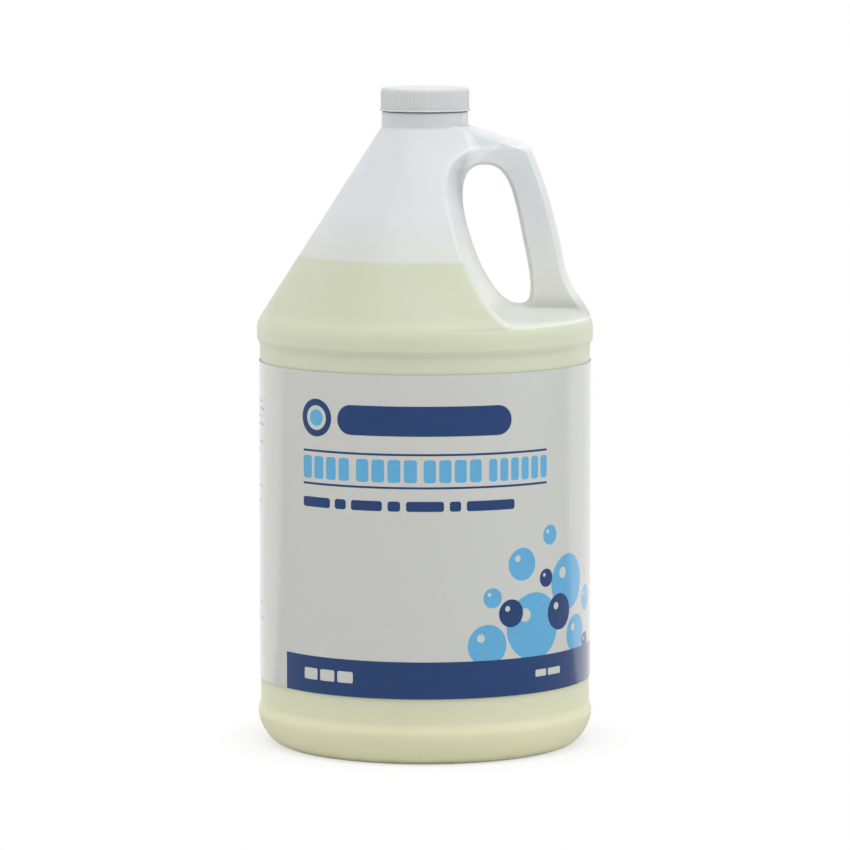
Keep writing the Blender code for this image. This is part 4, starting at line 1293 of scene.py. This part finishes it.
def add_node(tree, kind, inputs=(), **settings):
    """Add a node, and set or link its inputs."""
    made = tree.nodes.new(kind)
    for key, value in settings.items():
        setattr(made, key, value)
    for socket, value in dict(inputs).items():
        if isinstance(value, bpy.types.NodeSocket):
            tree.links.new(value, made.inputs[socket])
        else:
            made.inputs[socket].default_value = value
    return made


def ramp(tree, value, start, end, low=0.0, high=1.0):
    """Value eased from one range to another."""
    made = add_node(tree, "ShaderNodeMapRange", {"Value": value, "From Min": start,
                                                 "From Max": end, "To Min": low, "To Max": high},
                    interpolation_type="SMOOTHSTEP")
    return made.outputs["Result"]


def floor_finish(stage):
    """Pale floor that keeps the jug's shadow near it and shows white to the camera."""
    share, reach = stage.shadow_share, stage.shadow_reach
    material = bpy.data.materials.new("pale_floor")
    material.use_nodes = True
    tree = material.node_tree
    tree.nodes.clear()
    output = add_node(tree, "ShaderNodeOutputMaterial")
    place = add_node(tree, "ShaderNodeTexCoord").outputs["Object"]
    soft = add_node(tree, "ShaderNodeBsdfDiffuse", {"Color": (0.8, 0.8, 0.8, 1.0)})
    shadow = add_node(tree, "ShaderNodeBsdfDiffuse", {"Color": (share, share, share, 1.0)})
    glow = add_node(tree, "ShaderNodeEmission", {"Strength": 1.01 - share * stage.floor_level})
    near = add_node(tree, "ShaderNodeAddShader", {0: shadow.outputs[0], 1: glow.outputs[0]})
    far = add_node(tree, "ShaderNodeEmission")
    sheen = add_node(tree, "ShaderNodeEmission", {"Strength": sheen_level(tree, place, stage)})
    distance = add_node(tree, "ShaderNodeVectorMath", {0: place}, operation="LENGTH")
    fade = ramp(tree, distance.outputs["Value"], reach * 0.64, reach)
    shown = add_node(tree, "ShaderNodeMixShader", {0: fade, 1: near.outputs[0], 2: far.outputs[0]})
    seen_by_rays(tree, soft.outputs[0], shown.outputs[0], sheen.outputs[0], output)
    return material


def seen_by_rays(tree, soft, plain, sheen, output):
    """Give camera and clear pieces the plain look, gloss its own, and other light the soft one."""
    path = add_node(tree, "ShaderNodeLightPath")
    shown = soft
    for ray, look in (("Is Camera Ray", plain), ("Is Transmission Ray", plain),
                      ("Is Glossy Ray", sheen)):
        mix = add_node(tree, "ShaderNodeMixShader", {0: path.outputs[ray], 1: shown, 2: look})
        shown = mix.outputs[0]
    tree.links.new(shown, output.inputs["Surface"])


def sheen_level(tree, place, stage):
    """White behind the jug and at its sides, and darker on the side of the camera."""
    level_out = add_node(tree, "ShaderNodeVectorMath", {0: place, 1: (1.0, 1.0, 0.0)},
                         operation="MULTIPLY")
    heading = add_node(tree, "ShaderNodeVectorMath", {0: level_out.outputs["Vector"]},
                       operation="NORMALIZE")
    split = add_node(tree, "ShaderNodeSeparateXYZ", {0: heading.outputs["Vector"]})
    return ramp(tree, split.outputs["Y"], stage.sheen_edge - 0.04, stage.sheen_edge + 0.04,
                stage.sheen_front)


def light_world(stage):
    """Soft light from all round, lower on the camera's side, white where it is seen."""
    world = bpy.data.worlds.new("studio")
    bpy.context.scene.world = world
    world.use_nodes = True
    tree = world.node_tree
    tree.nodes.clear()
    white = (1.0, 1.0, 1.0, 1.0)
    output = add_node(tree, "ShaderNodeOutputWorld")
    place = add_node(tree, "ShaderNodeTexCoord").outputs["Generated"]
    split = add_node(tree, "ShaderNodeSeparateXYZ", {0: place})
    level = ramp(tree, split.outputs["Y"], -0.7, 0.3, stage.front_level, stage.back_level)
    looks = [add_node(tree, "ShaderNodeBackground", {"Color": white, "Strength": strength})
             for strength in (level, 1.0, sheen_level(tree, place, stage))]
    seen_by_rays(tree, *(look.outputs[0] for look in looks), output)


class REFILLJUG_OT_stage(bpy.types.Operator):
    """Set the floor, the lamps and the camera"""

    bl_idname = "refilljug.stage"
    bl_label = "Stage"
    bl_options = {"REGISTER", "UNDO"}

    def execute(self, context):
        stage = context.scene.refill_jug.stage
        mesh = bpy.data.meshes.new("floor")
        half = 6.0
        corners = ((-half, -half, 0.0), (half, -half, 0.0), (half, half, 0.0), (-half, half, 0.0))
        mesh.from_pydata(corners, [], [(0, 1, 2, 3)])
        floor = bpy.data.objects.new("floor", mesh)
        context.scene.collection.objects.link(floor)
        mesh.materials.append(floor_finish(stage))
        light_world(stage)
        middle = (0.0, 0.0, 0.16)
        add_lamp("left_lamp", 0.9, 1.3, stage.left_level, (-1.25, 0.1, 0.65), middle)
        add_lamp("right_lamp", 0.9, 1.3, stage.right_level, (1.2, -0.3, 0.65), middle,
                 (0.94, 0.975, 1.0))
        add_lamp("key_lamp", 1.8, 1.0, stage.key_level, (0.0, -0.72, 1.5), (0.0, 0.0, 0.12))
        camera = bpy.data.cameras.new("camera")
        camera.lens = stage.lens
        camera.sensor_width = 36.0
        camera.clip_start = 0.05
        camera.clip_end = 50.0
        place = Vector((0.0, -stage.camera_distance, stage.camera_height))
        aim = Vector((0.0, 0.0, stage.aim_height))
        obj = bpy.data.objects.new("camera", camera)
        obj.location = place
        obj.rotation_euler = (aim - place).to_track_quat("-Z", "Y").to_euler()
        context.scene.collection.objects.link(obj)
        context.scene.camera = obj
        context.scene.view_settings.view_transform = "Standard"
        return {"FINISHED"}


class RefillJug(bpy.types.PropertyGroup):
    """All that a user can set."""

    body: PointerProperty(type=JugBody, name="Body", description="Sizes of the body")
    handle: PointerProperty(type=JugHandle, name="Handle", description="Sizes of the handle")
    closure: PointerProperty(type=JugClosure, name="Closure", description="Sizes of finish and cap")
    label: PointerProperty(type=JugLabel, name="Label", description="Sizes of the label")
    colours: PointerProperty(type=JugColours, name="Colours", description="Colours of the finishes")
    stage: PointerProperty(type=JugStage, name="Stage", description="Floor, lamps and camera")


class REFILLJUG_PT_sidebar(bpy.types.Panel):
    """Steps that dress the refill jug"""

    bl_idname = "REFILLJUG_PT_sidebar"
    bl_label = "Refill Jug"
    bl_space_type = "VIEW_3D"
    bl_region_type = "UI"
    bl_category = "Refill Jug"

    def draw(self, context):
        column = self.layout.column()
        for step in STEPS:
            column.operator(step.bl_idname)


STEPS = (REFILLJUG_OT_wall, REFILLJUG_OT_soap, REFILLJUG_OT_label, REFILLJUG_OT_cap,
         REFILLJUG_OT_liner, REFILLJUG_OT_stage)
CLASSES = (JugBody, JugHandle, JugClosure, JugLabel, JugColours, JugStage, RefillJug,
           *STEPS, REFILLJUG_PT_sidebar)


def register():
    """Add the classes and the settings."""
    for cls in CLASSES:
        bpy.utils.register_class(cls)
    bpy.types.Scene.refill_jug = PointerProperty(type=RefillJug)


def unregister():
    """Take the settings and the classes away."""
    del bpy.types.Scene.refill_jug
    for cls in reversed(CLASSES):
        bpy.utils.unregister_class(cls)


def main():
    """Build every piece and the stage."""
    register()
    bpy.ops.refilljug.wall()
    bpy.ops.refilljug.soap()
    bpy.ops.refilljug.label()
    bpy.ops.refilljug.cap()
    bpy.ops.refilljug.liner()
    bpy.ops.refilljug.stage()


if __name__ == "__main__":
    main()
